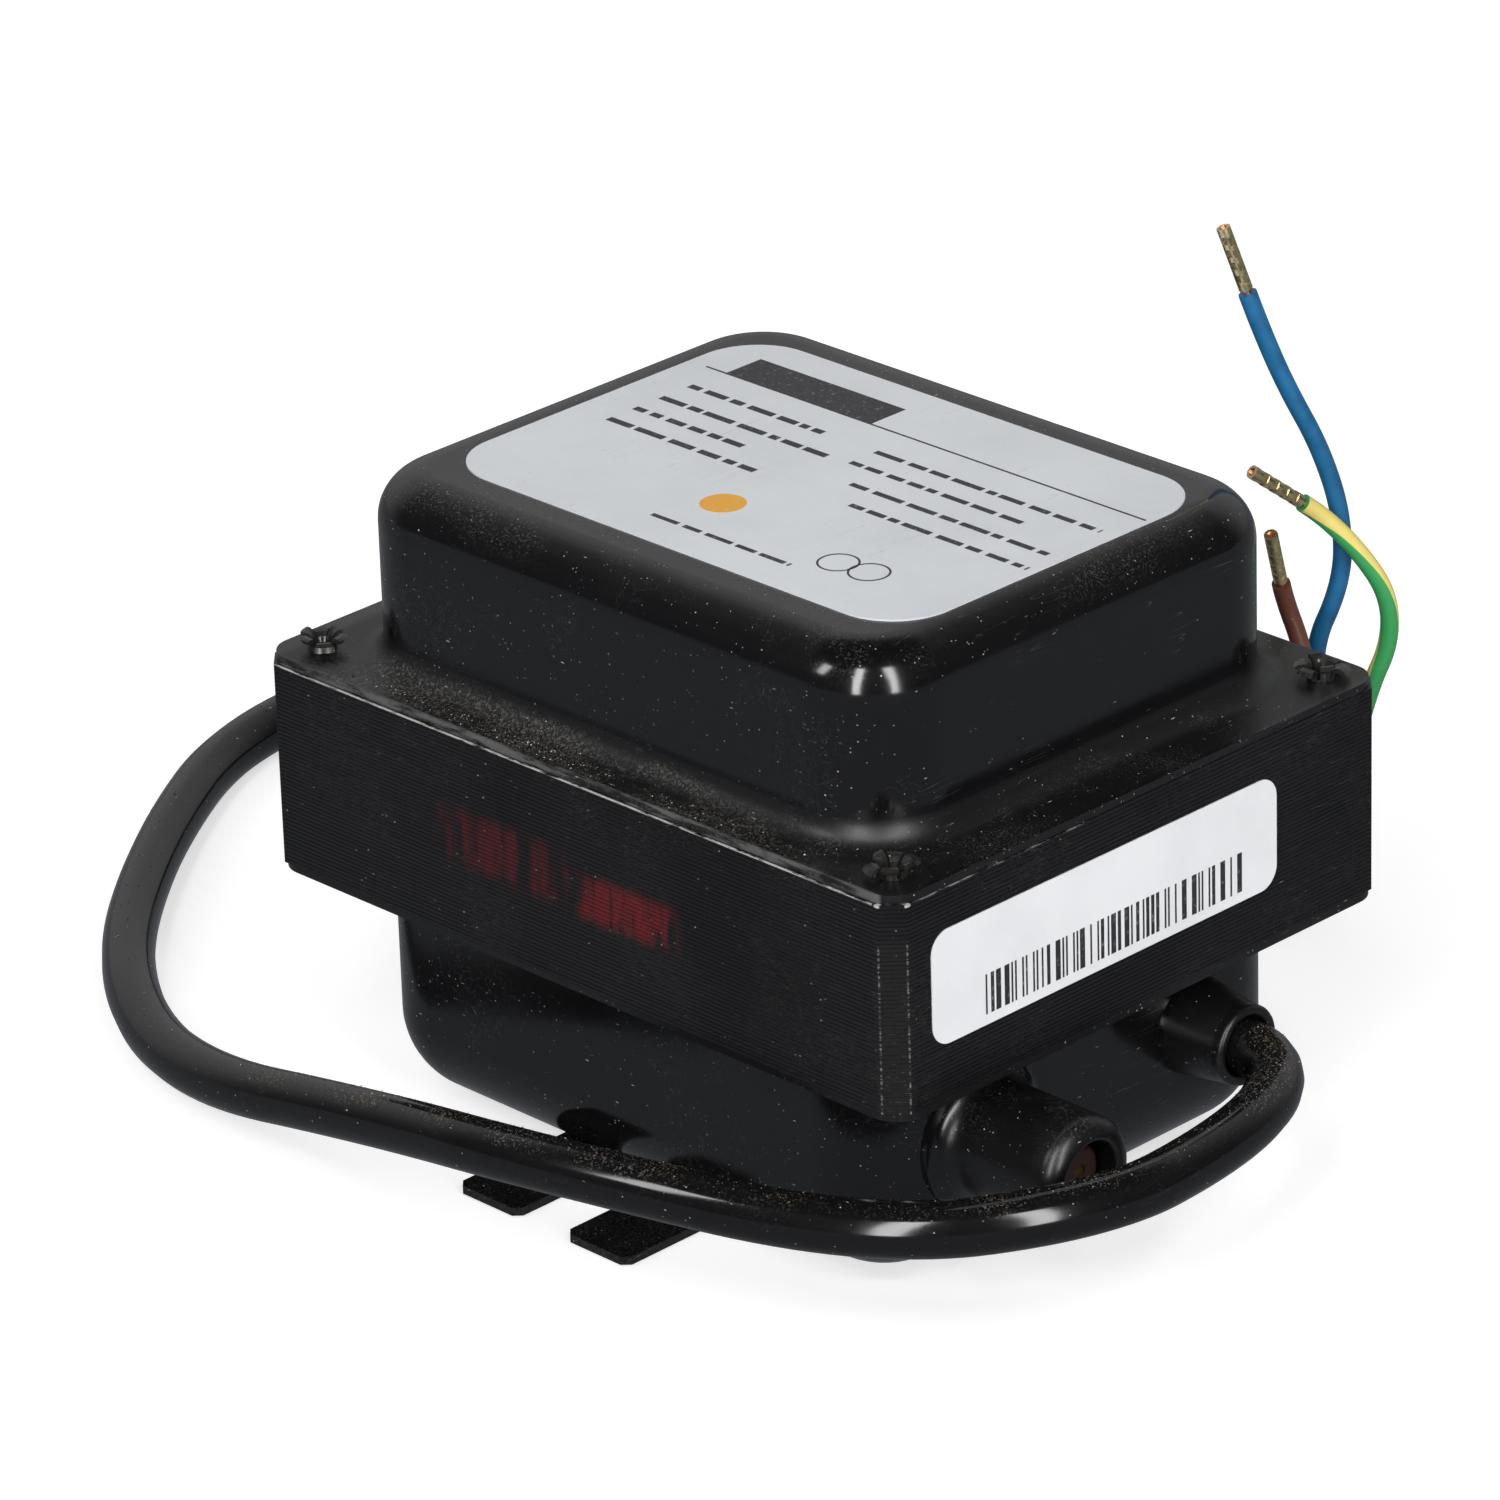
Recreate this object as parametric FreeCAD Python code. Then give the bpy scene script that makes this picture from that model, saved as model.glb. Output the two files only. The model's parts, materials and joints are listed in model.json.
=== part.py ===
import FreeCAD, Part
import math
import os

# Ignition transformer for an oil burner, all sizes in millimetres.
# Pieces are drawn round the middle of the laminated core and moved at the end,
# so that the mounting strips stand on z = 0 and the body is centred in x and y.

V = FreeCAD.Vector
X_AXIS = V(1, 0, 0)
Z_AXIS = V(0, 0, 1)

# Core
CORE_L = 98.0
CORE_W = 77.7
CORE_H = 24.4
CORE_CHAMFER = 2.2
SHEET_COUNT = 49
SHEET_GROOVE = 0.12
SHEET_GROOVE_DEPTH = 0.07
FRAME_WIDTH = 12.0
LEG_W = 24.0
TONGUE = 2.0

# Covers
COVER_RIM_X = 7.6
COVER_RIM_Y = 5.425
COVER_CORNER = 10.7
COVER_SHEET = 1.0
COVER_ROOT = 3.0
FLANGE_BACK_X = 0.1
FLANGE_BACK_Y = 0.35
FLANGE_CORNER = 3.6
UPPER_RISE = 23.0
UPPER_EDGE = 5.7
LOWER_DROP = 28.3
LOWER_EDGE = 10.2
POTTING_DEPTH = 9.0

# Mounting strips
STRIP_W = 9.7
STRIP_T = 1.0
STRIP_L = 86.0
STRIP_X = (-11.0, 6.2)
STRIP_CHAMFER = 0.9
WELD_R = 1.6
WELD_Y = (-14.0, 0.0, 14.0)

# Corner rivets
RIVET_IN_X = 4.8
RIVET_IN_Y = 5.15
RIVET_R = 1.6
RIVET_WALL = 0.55
RIVET_CURL = 1.15
RIVET_FIT = 0.05
RIVET_HEAD = 1.5
RIVET_HEAD_T = 0.9
PETALS = 6
PETAL_GAP = 17.0
PETAL_RISE = 0.55
PETAL_BEND = 125.0
PETAL_UNEVEN = 38.0

# High-voltage neck
HV_IN = 15.475
HV_UP = 16.2
HV_R = 6.55
HV_WALL = 1.0
HV_REACH = 15.9
HV_THROAT = 3.8
HV_NOSE = 2.4
HV_LIP = 0.7
HV_MOUTH_R = 4.0
HV_FLARE = 2.6
SLEEVE_R = 3.0
SLEEVE_RECESS = 2.0
SLEEVE_FOOT = 6.5
SLEEVE_COLLAR = 1.3
SLEEVE_FIT = 0.2
PIN_R = 0.9
PIN_RECESS = 0.3
PIN_TAIL = 0.5

# Cable neck
CABLE_IN = 17.475
CABLE_UP = 16.9
CN_R = 4.7
CN_ROOT_R = 5.7
CN_WALL = 1.0
CN_REACH = 8.35
CN_LIP = 1.4
CN_MOUTH_R = 3.45
BUSH_FIT = 0.17
BUSH_COLLAR = 1.0
GRIP_T = 1.8
NECK_INSIDE = 1.0

# Coils
BOBBIN_WALL = 1.0
BOBBIN_FLANGE = 1.2
BOBBIN_FIT = 0.55
BOBBIN_RISE = 14.3
COIL_BELOW_Y = 1.7
COIL_BELOW_Z = 1.5
COIL_CORNER = 8.0
WRAP_T = 0.6
COIL_END = 0.1
PRIMARY_L = 27.3
COIL_GAP = 0.3
SHUNT_T = 5.4
SECONDARY_END = 7.0
CHAMBERS = 4
GAP_PAPER = 0.5
TAIL_R = 0.9

# Lead and wires
LEAD_D = 6.35
WIRE_D = 2.15
WIRE_LAY = 1.3
WIRE_FIRST = 3.0
BLUE_TURN = 60
BROWN_TURN = 300
EARTH_TURN = 180
FERRULE_R = 0.8
FERRULE_BORE = 0.5
FERRULE_L = 7.8
FERRULE_OFF = 0.5

# Earth lug inside the lower cover
LUG_OUT = 2.175
LUG_FROM = 9.0
LUG_TO = 20.5
LUG_PALM_T = 0.8
LUG_PALM_H = 3.2
LUG_BARREL = 5.0
LUG_STEP = 1.5
LUG_WEB = 1.2
LUG_WALL = 0.35

# Labels
LABEL_L = 70.6
LABEL_W = 49.4
LABEL_X = 0.9
LABEL_Y = 0.6
LABEL_CORNER = 7.6
LABEL_T = 0.2
SIDE_LABEL_L = 54.1
SIDE_LABEL_H = 13.35
SIDE_LABEL_Y = -6.2
SIDE_LABEL_Z = 0.75
SIDE_LABEL_CORNER = 2.6
SIDE_LABEL_T = 0.12

# Worked out from the sizes above
HALF_L = CORE_L / 2
HALF_W = CORE_W / 2
HALF_H = CORE_H / 2
FLANGE_L = CORE_L - 2 * FLANGE_BACK_X
FLANGE_W = CORE_W - 2 * FLANGE_BACK_Y
COVER_L = FLANGE_L - 2 * COVER_RIM_X
COVER_W = FLANGE_W - 2 * COVER_RIM_Y
RIVET_X = HALF_L - RIVET_IN_X
RIVET_Y = HALF_W - RIVET_IN_Y
WINDOW_X = HALF_L - FRAME_WIDTH
WINDOW_Y = HALF_W - FRAME_WIDTH
WALL_X = COVER_L / 2
WALL_Y = COVER_W / 2
INNER_X = WALL_X - COVER_SHEET
UPPER_TOP = HALF_H + UPPER_RISE
LOWER_BOTTOM = -HALF_H - LOWER_DROP
GROUND = LOWER_BOTTOM - STRIP_T
NECK_END_X = INNER_X - NECK_INSIDE
HV_RIM_X = WALL_X + HV_REACH
HV_Y = HV_IN - WALL_Y
HV_Z = LOWER_BOTTOM + HV_UP
CN_MOUTH_X = WALL_X + CN_REACH
CABLE_Y = WALL_Y - CABLE_IN
CABLE_Z = LOWER_BOTTOM + CABLE_UP
MID_X = (HV_RIM_X - HALF_L) / 2
LEAD_R = LEAD_D / 2
WIRE_R = WIRE_D / 2
BOBBIN_HY = WINDOW_Y - BOBBIN_FIT
BOBBIN_HZ = HALF_H + BOBBIN_RISE
COIL_HY = BOBBIN_HY - COIL_BELOW_Y
COIL_HZ = BOBBIN_HZ - COIL_BELOW_Z
COIL_FOOT = -COIL_HZ - WRAP_T
PRIMARY_X = (COIL_END - WINDOW_X, COIL_END - WINDOW_X + PRIMARY_L)
SHUNT_X = (PRIMARY_X[1] + COIL_GAP, PRIMARY_X[1] + COIL_GAP + SHUNT_T)
SECONDARY_X = (SHUNT_X[1] + COIL_GAP, WINDOW_X - SECONDARY_END)
LUG_Y = WALL_Y - COVER_SHEET - LUG_OUT

# Corners of the routes: straight runs with a tangent arc at each corner
LEAD_ROUTE = (
    (35.6, CABLE_Y, CABLE_Z), (44.9, CABLE_Y - 0.15, CABLE_Z), (57.5, 15.9, -24.3),
    (65.3, 8.2, -24.1), (66.9, -4.0, -24.0), (68.0, -24.2, -22.3), (48.1, -42.8, -25.2),
    (10.2, -54.1, -24.7), (-18.9, -52.3, -29.7), (-54.2, -50.2, -37.3), (-81.0, -36.1, -38.3),
    (-103.9, -10.1, -38.3), (-121.2, 18.8, -38.3), (-118.2, 52.6, -38.3), (-96.0, 78.4, -38.3),
    (-63.9, 87.9, -38.3), (-30.7, 87.3, -38.3), (2.1, 76.5, -38.3), (18.0, 64.0, -28.5),
    (26.4, 55.8, -14.0))
BLUE_REST = (
    (26.6, 51.5, 4.6), (29.3, 54.2, 13.5), (28.8, 54.7, 21.3), (27.6, 52.4, 29.9),
    (25.4, 49.2, 37.6), (23.6, 47.0, 44.7), (22.6, 45.9, 49.1))
BROWN_REST = (
    (29.9, 48.4, 1.4), (28.4, 48.2, 7.6), (26.6, 47.4, 12.9), (27.1, 46.3, 15.3))
EARTH_REST = (
    (33.3, 54.1, 1.5), (34.5, 56.4, 6.9), (34.3, 56.3, 12.8), (32.1, 53.7, 18.3),
    (29.4, 50.7, 22.8), (28.6, 48.3, 24.8))
NEUTRAL_TURN = -145
LIVE_TURN = -35
NEUTRAL_INNER = (
    (32.2, 13.0, -29.7), (12.0, 12.1, -29.4), (-14.6, 13.0, -29.6), (-14.6, 13.0, COIL_FOOT))
LIVE_INNER = (
    (32.2, 17.6, -29.7), (9.0, 16.8, -29.5), (-16.0, 17.8, -29.4), (-30.6, 16.0, -29.7),
    (-30.6, 16.0, COIL_FOOT))
EARTH_INNER = (
    (33.4, LUG_Y - 2.5, -22.9), (25.0, LUG_Y, -22.5), (LUG_TO, LUG_Y, -22.5))


def rounded_outline(half_a, half_b, r):
    """Rounded rectangle in the xy plane round the origin, as a wire."""
    p = half_a - r
    q = half_b - r
    c = r * math.sqrt(0.5)
    edges = []
    for sx, sy in ((1, 1), (-1, 1), (-1, -1), (1, -1)):
        a = V(sx * half_a, sy * q, 0)
        b = V(sx * p, sy * half_b, 0)
        m = V(sx * (p + c), sy * (q + c), 0)
        if sx * sy < 0:
            a, b = b, a
        edges.append(Part.Arc(a, m, b).toShape())
    sides = []
    for i in range(4):
        sides.append(edges[i])
        end = edges[i].Vertexes[-1].Point
        start = edges[(i + 1) % 4].Vertexes[0].Point
        sides.append(Part.LineSegment(end, start).toShape())
    return Part.Wire(sides)


def rounded_block(half_a, half_b, r, low, high):
    """Upright block with a rounded-rectangle plan."""
    wire = rounded_outline(half_a, half_b, r)
    wire.translate(V(0, 0, low))
    return Part.Face(wire).extrude(V(0, 0, high - low))


def block_along_x(half_y, half_z, r, low, high):
    """The same block lying along x."""
    block = rounded_block(half_z, half_y, r, low, high)
    block.rotate(V(0, 0, 0), V(0, 1, 0), 90)
    return block


def box(x0, x1, y0, y1, z0, z1):
    return Part.makeBox(x1 - x0, y1 - y0, z1 - z0, V(x0, y0, z0))


def plain_block_along_x(half_y, half_z, low, high):
    return box(low, high, -half_y, half_y, -half_z, half_z)


def edges_at(shape, z, half_a, half_b):
    """Edges lying at height z inside the given half sizes."""
    found = []
    for edge in shape.Edges:
        b = edge.BoundBox
        level = abs(b.ZMin - z) < 0.01 and abs(b.ZMax - z) < 0.01
        across = max(b.XMax, -b.XMin) < half_a + 0.01
        along = max(b.YMax, -b.YMin) < half_b + 0.01
        if level and across and along:
            found.append(edge)
    return found


def turned(profile, y, z):
    """Solid turned about an x-axis line; the profile is (x, radius) or an arc's middle and end."""
    edges = []
    at = V(profile[0][0], y, z + profile[0][1])
    for step in list(profile[1:]) + [profile[0]]:
        if len(step) == 4:
            mid = V(step[0], y, z + step[1])
            end = V(step[2], y, z + step[3])
            edges.append(Part.Arc(at, mid, end).toShape())
        else:
            end = V(step[0], y, z + step[1])
            edges.append(Part.LineSegment(at, end).toShape())
        at = end
    face = Part.Face(Part.Wire(edges))
    return face.revolve(V(0, y, z), X_AXIS, 360)


def route_path(points):
    """Straight runs joined by tangent arcs, with the smallest arc radius and the length."""
    pts = [V(*p) for p in points]
    edges = []
    smallest = 1e9
    at = pts[0]
    for i in range(1, len(pts) - 1):
        before = pts[i] - pts[i - 1]
        after = pts[i + 1] - pts[i]
        run = min(before.Length, after.Length)
        half_turn = before.getAngle(after) / 2
        before.normalize()
        after.normalize()
        radius = 0.45 * run / math.tan(half_turn)
        smallest = min(smallest, radius)
        start = pts[i] - before * (0.45 * run)
        end = pts[i] + after * (0.45 * run)
        inward = after - before
        inward.normalize()
        mid = pts[i] + inward * (radius / math.cos(half_turn) - radius)
        edges.append(Part.LineSegment(at, start).toShape())
        edges.append(Part.Arc(start, mid, end).toShape())
        at = end
    edges.append(Part.LineSegment(at, pts[-1]).toShape())
    return Part.Wire(edges), smallest


def laid_from(end, before, angle, rest):
    """Route of one wire: straight out of the sheath's end face, then the given corners."""
    base = V(*end)
    heading = base - V(*before)
    heading.normalize()
    side = heading.cross(Z_AXIS)
    side.normalize()
    up = side.cross(heading)
    a = math.radians(angle)
    start = base + side * (WIRE_LAY * math.cos(a)) + up * (WIRE_LAY * math.sin(a))
    first = start + heading * WIRE_FIRST
    return [tuple(start), tuple(first)] + list(rest)


def outer_route(angle, rest):
    return laid_from(LEAD_ROUTE[-1], LEAD_ROUTE[-2], angle, rest)


def inner_route(angle, rest):
    return laid_from(LEAD_ROUTE[0], LEAD_ROUTE[1], angle, rest)


def tube_along(points, r, name):
    """Round rod along a route; prints its length, tightest bend and volume check."""
    path, smallest = route_path(points)
    start = V(*points[0])
    heading = V(*points[1]) - start
    ring = Part.Wire([Part.makeCircle(r, start, heading)])
    rod = path.makePipeShell([ring], True, False)
    if rod.Volume < 0:
        rod.reverse()
    ratio = rod.Volume / (math.pi * r * r * path.Length)
    print(name, "length", round(path.Length, 1), "tightest radius", round(smallest, 2),
          "volume ratio", round(ratio, 4))
    return rod


# Core
def core_outline(inset, z):
    """Corner points of one lamination's chamfered outline at height z."""
    x = HALF_L - inset
    y = HALF_W - inset
    c = CORE_CHAMFER - inset * (2 - math.sqrt(2))
    return [V(x, y - c, z), V(x - c, y, z), V(c - x, y, z), V(-x, y - c, z),
            V(-x, c - y, z), V(c - x, -y, z), V(x - c, -y, z), V(x, c - y, z)]


def laminated_block():
    """Stack of sheets whose joints show as fine grooves round the outside."""
    pitch = CORE_H / SHEET_COUNT
    levels = []
    for i in range(SHEET_COUNT):
        low = -HALF_H + i * pitch
        if i > 0:
            levels.append((0.0, low + SHEET_GROOVE / 2))
        else:
            levels.append((0.0, low))
        if i < SHEET_COUNT - 1:
            levels.append((0.0, low + pitch - SHEET_GROOVE / 2))
            levels.append((SHEET_GROOVE_DEPTH, low + pitch))
        else:
            levels.append((0.0, low + pitch))
    rings = [core_outline(inset, z) for inset, z in levels]
    faces = [Part.Face(Part.makePolygon(rings[0] + rings[0][:1]))]
    for lower, upper in zip(rings, rings[1:]):
        for k in range(8):
            n = (k + 1) % 8
            quad = [lower[k], lower[n], upper[n], upper[k], lower[k]]
            faces.append(Part.Face(Part.makePolygon(quad)))
    faces.append(Part.Face(Part.makePolygon(rings[-1] + rings[-1][:1])))
    solid = Part.Solid(Part.Shell(faces))
    if solid.Volume < 0:
        solid.reverse()
    return solid


def rivet_places():
    return [(sx * RIVET_X, sy * RIVET_Y) for sx in (-1, 1) for sy in (-1, 1)]


def rivet_holes(low, high):
    holes = []
    for x, y in rivet_places():
        holes.append(Part.makeCylinder(RIVET_R + RIVET_FIT, high - low, V(x, y, low)))
    return holes


def make_core_frame():
    window = box(-WINDOW_X, WINDOW_X, -WINDOW_Y, WINDOW_Y, -HALF_H - 1, HALF_H + 1)
    pockets = box(-WINDOW_X - TONGUE, WINDOW_X + TONGUE, -LEG_W / 2, LEG_W / 2,
                  -HALF_H - 1, HALF_H + 1)
    opening = window.fuse(pockets)
    return laminated_block().cut([opening] + rivet_holes(-HALF_H - 1, HALF_H + 1))


def make_centre_leg():
    return plain_block_along_x(LEG_W / 2, HALF_H, -WINDOW_X - TONGUE, WINDOW_X + TONGUE)


def make_shunts():
    packs = []
    for s in (-1, 1):
        near = s * (LEG_W / 2 + GAP_PAPER)
        far = s * (WINDOW_Y - GAP_PAPER)
        packs.append(box(*SHUNT_X, min(near, far), max(near, far), -HALF_H, HALF_H))
    return Part.makeCompound(packs)


def make_gap_papers():
    papers = []
    for s in (-1, 1):
        for edge in (LEG_W / 2, WINDOW_Y - GAP_PAPER):
            a = s * edge
            b = s * (edge + GAP_PAPER)
            papers.append(box(*SHUNT_X, min(a, b), max(a, b), -HALF_H, HALF_H))
    return Part.makeCompound(papers)


# Coils
def bobbin(ends, chambers):
    """Square tube on the centre leg with a cheek at each end and between chambers."""
    low, high = ends
    tube_y = LEG_W / 2 + BOBBIN_WALL
    tube_z = HALF_H + BOBBIN_WALL
    body = plain_block_along_x(tube_y, tube_z, low, high)
    step = (high - low - BOBBIN_FLANGE) / chambers
    cheeks = []
    for i in range(chambers + 1):
        x = low + i * step
        cheeks.append(block_along_x(BOBBIN_HY, BOBBIN_HZ, 2.0, x, x + BOBBIN_FLANGE))
    bore = plain_block_along_x(LEG_W / 2, HALF_H, low - 1, high + 1)
    return body.fuse(cheeks).cut(bore)


def coil_rings(ends, chambers, inner_y, inner_z, outer_y, outer_z, inner_r, outer_r):
    """One ring between each pair of cheeks."""
    low, high = ends
    step = (high - low - BOBBIN_FLANGE) / chambers
    rings = []
    for i in range(chambers):
        x0 = low + i * step + BOBBIN_FLANGE
        x1 = low + (i + 1) * step
        ring = block_along_x(outer_y, outer_z, outer_r, x0, x1)
        if inner_r > 0:
            hole = block_along_x(inner_y, inner_z, inner_r, x0 - 1, x1 + 1)
        else:
            hole = plain_block_along_x(inner_y, inner_z, x0 - 1, x1 + 1)
        rings.append(ring.cut(hole))
    return rings


def winding(ends, chambers):
    rings = coil_rings(ends, chambers, LEG_W / 2 + BOBBIN_WALL, HALF_H + BOBBIN_WALL,
                       COIL_HY, COIL_HZ, 0, COIL_CORNER)
    return Part.makeCompound(rings)


def wrap(ends, chambers):
    rings = coil_rings(ends, chambers, COIL_HY, COIL_HZ, COIL_HY + WRAP_T, COIL_HZ + WRAP_T,
                       COIL_CORNER, COIL_CORNER + WRAP_T)
    return Part.makeCompound(rings)


def make_secondary_bobbin():
    hole = Part.makeCylinder(TAIL_R, 2 * BOBBIN_FLANGE, V(SECONDARY_X[1] - 1.5 * BOBBIN_FLANGE,
                                                          HV_Y, HV_Z), X_AXIS)
    return bobbin(SECONDARY_X, CHAMBERS).cut(hole)


# Covers
def cup(depth, edge_r, grow, corner_r, root_r):
    """Filled cup standing on z = 0 with a rounded far edge and a flared foot."""
    half_a = WALL_X + grow
    half_b = WALL_Y + grow
    block = rounded_block(half_a, half_b, corner_r, 0, depth)
    block = block.makeFillet(edge_r, edges_at(block, depth, half_a, half_b))
    base = rounded_block(half_a + root_r + 1, half_b + root_r + 1,
                         corner_r + root_r + 1, -1, 0)
    whole = block.fuse(base)
    return whole.makeFillet(root_r, edges_at(whole, 0, half_a, half_b))


def cover_cavity(depth, edge_r):
    return cup(depth - COVER_SHEET, edge_r - COVER_SHEET, -COVER_SHEET,
               COVER_CORNER - COVER_SHEET, COVER_ROOT + COVER_SHEET)


def cover_skin(depth, edge_r):
    """Filled outside of a cover, foot flange included, standing on z = 0."""
    block = rounded_block(WALL_X, WALL_Y, COVER_CORNER, 0, depth)
    block = block.makeFillet(edge_r, edges_at(block, depth, WALL_X, WALL_Y))
    flange = rounded_block(FLANGE_L / 2, FLANGE_W / 2, FLANGE_CORNER, 0, COVER_SHEET)
    whole = block.fuse(flange)
    return whole.makeFillet(COVER_ROOT, edges_at(whole, COVER_SHEET, WALL_X, WALL_Y))


def make_upper_cover():
    skin = cover_skin(UPPER_RISE, UPPER_EDGE)
    shell = skin.cut([cover_cavity(UPPER_RISE, UPPER_EDGE)] + rivet_holes(-1, 2))
    shell.translate(V(0, 0, HALF_H))
    return shell


def turned_over(shape):
    """Turned over about x and set under the core."""
    shape.rotate(V(0, 0, 0), X_AXIS, 180)
    shape.translate(V(0, 0, -HALF_H))
    return shape


def neck_opening(y, z, r):
    return Part.makeCylinder(r, 2 * LOWER_EDGE, V(WALL_X - LOWER_EDGE, y, z), X_AXIS)


def make_lower_cover():
    skin = cover_skin(LOWER_DROP, LOWER_EDGE)
    shell = skin.cut([cover_cavity(LOWER_DROP, LOWER_EDGE)] + rivet_holes(-1, 2))
    shell = turned_over(shell)
    return shell.cut([neck_opening(HV_Y, HV_Z, HV_R), neck_opening(CABLE_Y, CABLE_Z, CN_R)])


def make_potting():
    level = LOWER_BOTTOM + POTTING_DEPTH
    inside = turned_over(cover_cavity(LOWER_DROP, LOWER_EDGE))
    return inside.common(box(-HALF_L, HALF_L, -HALF_W, HALF_W, GROUND, level))


# Necks on the lower cover
def flared_root(y, z, r, flare):
    """Ring that runs the neck out into the wall, trimmed to the wall's shape."""
    out = WALL_X + flare
    top = r + flare
    dip = flare * math.sqrt(0.5)
    ring = turned([(WALL_X - 2, r), (out, r), (out - dip, top - dip, WALL_X, top),
                   (WALL_X - 2, top)], y, z)
    filled = turned_over(cover_skin(LOWER_DROP, LOWER_EDGE))
    return ring.cut(filled)


def tapered_root(y, z, r, root_r, reach):
    """Cone that thickens the neck towards the wall, trimmed to the wall's shape."""
    ring = turned([(WALL_X - 2, r), (WALL_X + reach, r), (WALL_X, root_r),
                   (WALL_X - 2, root_r)], y, z)
    filled = turned_over(cover_skin(LOWER_DROP, LOWER_EDGE))
    return ring.cut(filled)


def make_hv_neck():
    inner = HV_R - HV_WALL
    rim = HV_RIM_X
    crest = HV_MOUTH_R + HV_LIP
    c = math.sqrt(0.5)
    tube = turned([(NECK_END_X, inner), (rim - HV_THROAT, inner), (rim - HV_THROAT, HV_MOUTH_R),
                   (rim - HV_LIP, HV_MOUTH_R),
                   (rim - HV_LIP + c * HV_LIP, crest - c * HV_LIP, rim, crest),
                   (rim - HV_NOSE + c * HV_NOSE, crest + c * (HV_R - crest),
                    rim - HV_NOSE, HV_R),
                   (NECK_END_X, HV_R)], HV_Y, HV_Z)
    return tube.fuse(flared_root(HV_Y, HV_Z, HV_R, HV_FLARE))


def make_hv_sleeve():
    inner = HV_R - HV_WALL
    face = HV_RIM_X - SLEEVE_RECESS
    low = NECK_END_X - SLEEVE_COLLAR
    foot = NECK_END_X + SLEEVE_FOOT
    bore = HV_R - SLEEVE_FIT
    return turned([(low, PIN_R), (face, PIN_R), (face, SLEEVE_R - 0.4), (face - 0.4, SLEEVE_R),
                   (foot, SLEEVE_R), (foot, inner),
                   (NECK_END_X, inner), (NECK_END_X, bore), (low, bore)],
                  HV_Y, HV_Z)


def make_hv_pin():
    low = NECK_END_X - SLEEVE_COLLAR - PIN_TAIL
    tip = HV_RIM_X - SLEEVE_RECESS - PIN_RECESS
    return turned([(low, 0), (tip, 0), (tip, PIN_R), (low, PIN_R)], HV_Y, HV_Z)


def make_hv_tail():
    low = SECONDARY_X[1] - BOBBIN_FLANGE
    high = NECK_END_X - SLEEVE_COLLAR - PIN_TAIL
    return Part.makeCylinder(TAIL_R, high - low, V(low, HV_Y, HV_Z), X_AXIS)


def make_cable_neck():
    inner = CN_R - CN_WALL
    rim = CN_MOUTH_X
    lip = (CN_R + CN_MOUTH_R) / 2
    half = (CN_R - CN_MOUTH_R) / 2
    dip = half * math.sqrt(0.5)
    tube = turned([(NECK_END_X, inner), (rim - CN_LIP, inner), (rim - CN_LIP, CN_MOUTH_R),
                   (rim - half, CN_MOUTH_R),
                   (rim - half + dip, lip - dip, rim, lip),
                   (rim - half + dip, lip + dip, rim - half, CN_R),
                   (NECK_END_X, CN_R)], CABLE_Y, CABLE_Z)
    return tube.fuse(tapered_root(CABLE_Y, CABLE_Z, CN_R, CN_ROOT_R, CN_REACH - CN_LIP))


def make_cable_bush():
    bore = LEAD_R + BUSH_FIT
    outer = CN_R - CN_WALL
    low = NECK_END_X - BUSH_COLLAR
    high = CN_MOUTH_X - CN_LIP
    return turned([(low, bore), (high, bore), (high, outer), (NECK_END_X, outer),
                   (NECK_END_X, CN_R - 0.1), (low, CN_R - 0.1)],
                  CABLE_Y, CABLE_Z)


def make_grip_ring():
    high = NECK_END_X - BUSH_COLLAR
    low = high - GRIP_T
    return turned([(low, LEAD_R + 0.04), (high, LEAD_R + 0.04), (high, CN_R - 0.4),
                   (low, CN_R - 0.4)], CABLE_Y, CABLE_Z)


def make_earth_lug():
    wall = WALL_Y - COVER_SHEET
    y, z = LUG_Y, EARTH_INNER[-1][2]
    foot = LUG_TO - LUG_BARREL
    step = foot + LUG_STEP
    palm = box(LUG_FROM, step, wall - LUG_PALM_T, wall, z - LUG_PALM_H, z + LUG_PALM_H)
    barrel = Part.makeCylinder(WIRE_R + LUG_WALL, LUG_BARREL, V(foot, y, z), X_AXIS)
    web = box(foot, step, y, wall, z - LUG_WEB, z + LUG_WEB)
    return palm.fuse([barrel, web])


# Rivets
def curl(x, y, turn, sweep, rise, bend):
    """One petal: the tube's split end standing up by rise and bent outwards by bend degrees."""
    top = HALF_H + COVER_SHEET
    lift = top + rise
    inner = RIVET_R - RIVET_WALL
    c = inner + RIVET_CURL
    back = RIVET_CURL - RIVET_WALL
    arc = [math.pi - math.radians(bend) * k / 5 for k in range(6)]
    points = [V(inner, 0, top)]
    for a in arc:
        points.append(V(c + RIVET_CURL * math.cos(a), 0, lift + RIVET_CURL * math.sin(a)))
    for a in reversed(arc):
        points.append(V(c + back * math.cos(a), 0, lift + back * math.sin(a)))
    points.append(V(RIVET_R, 0, top))
    outline = Part.makePolygon(points + points[:1])
    petal = Part.Face(outline).revolve(V(0, 0, 0), Z_AXIS, sweep)
    petal.rotate(V(0, 0, 0), Z_AXIS, turn)
    petal.translate(V(x, y, 0))
    return petal


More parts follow.
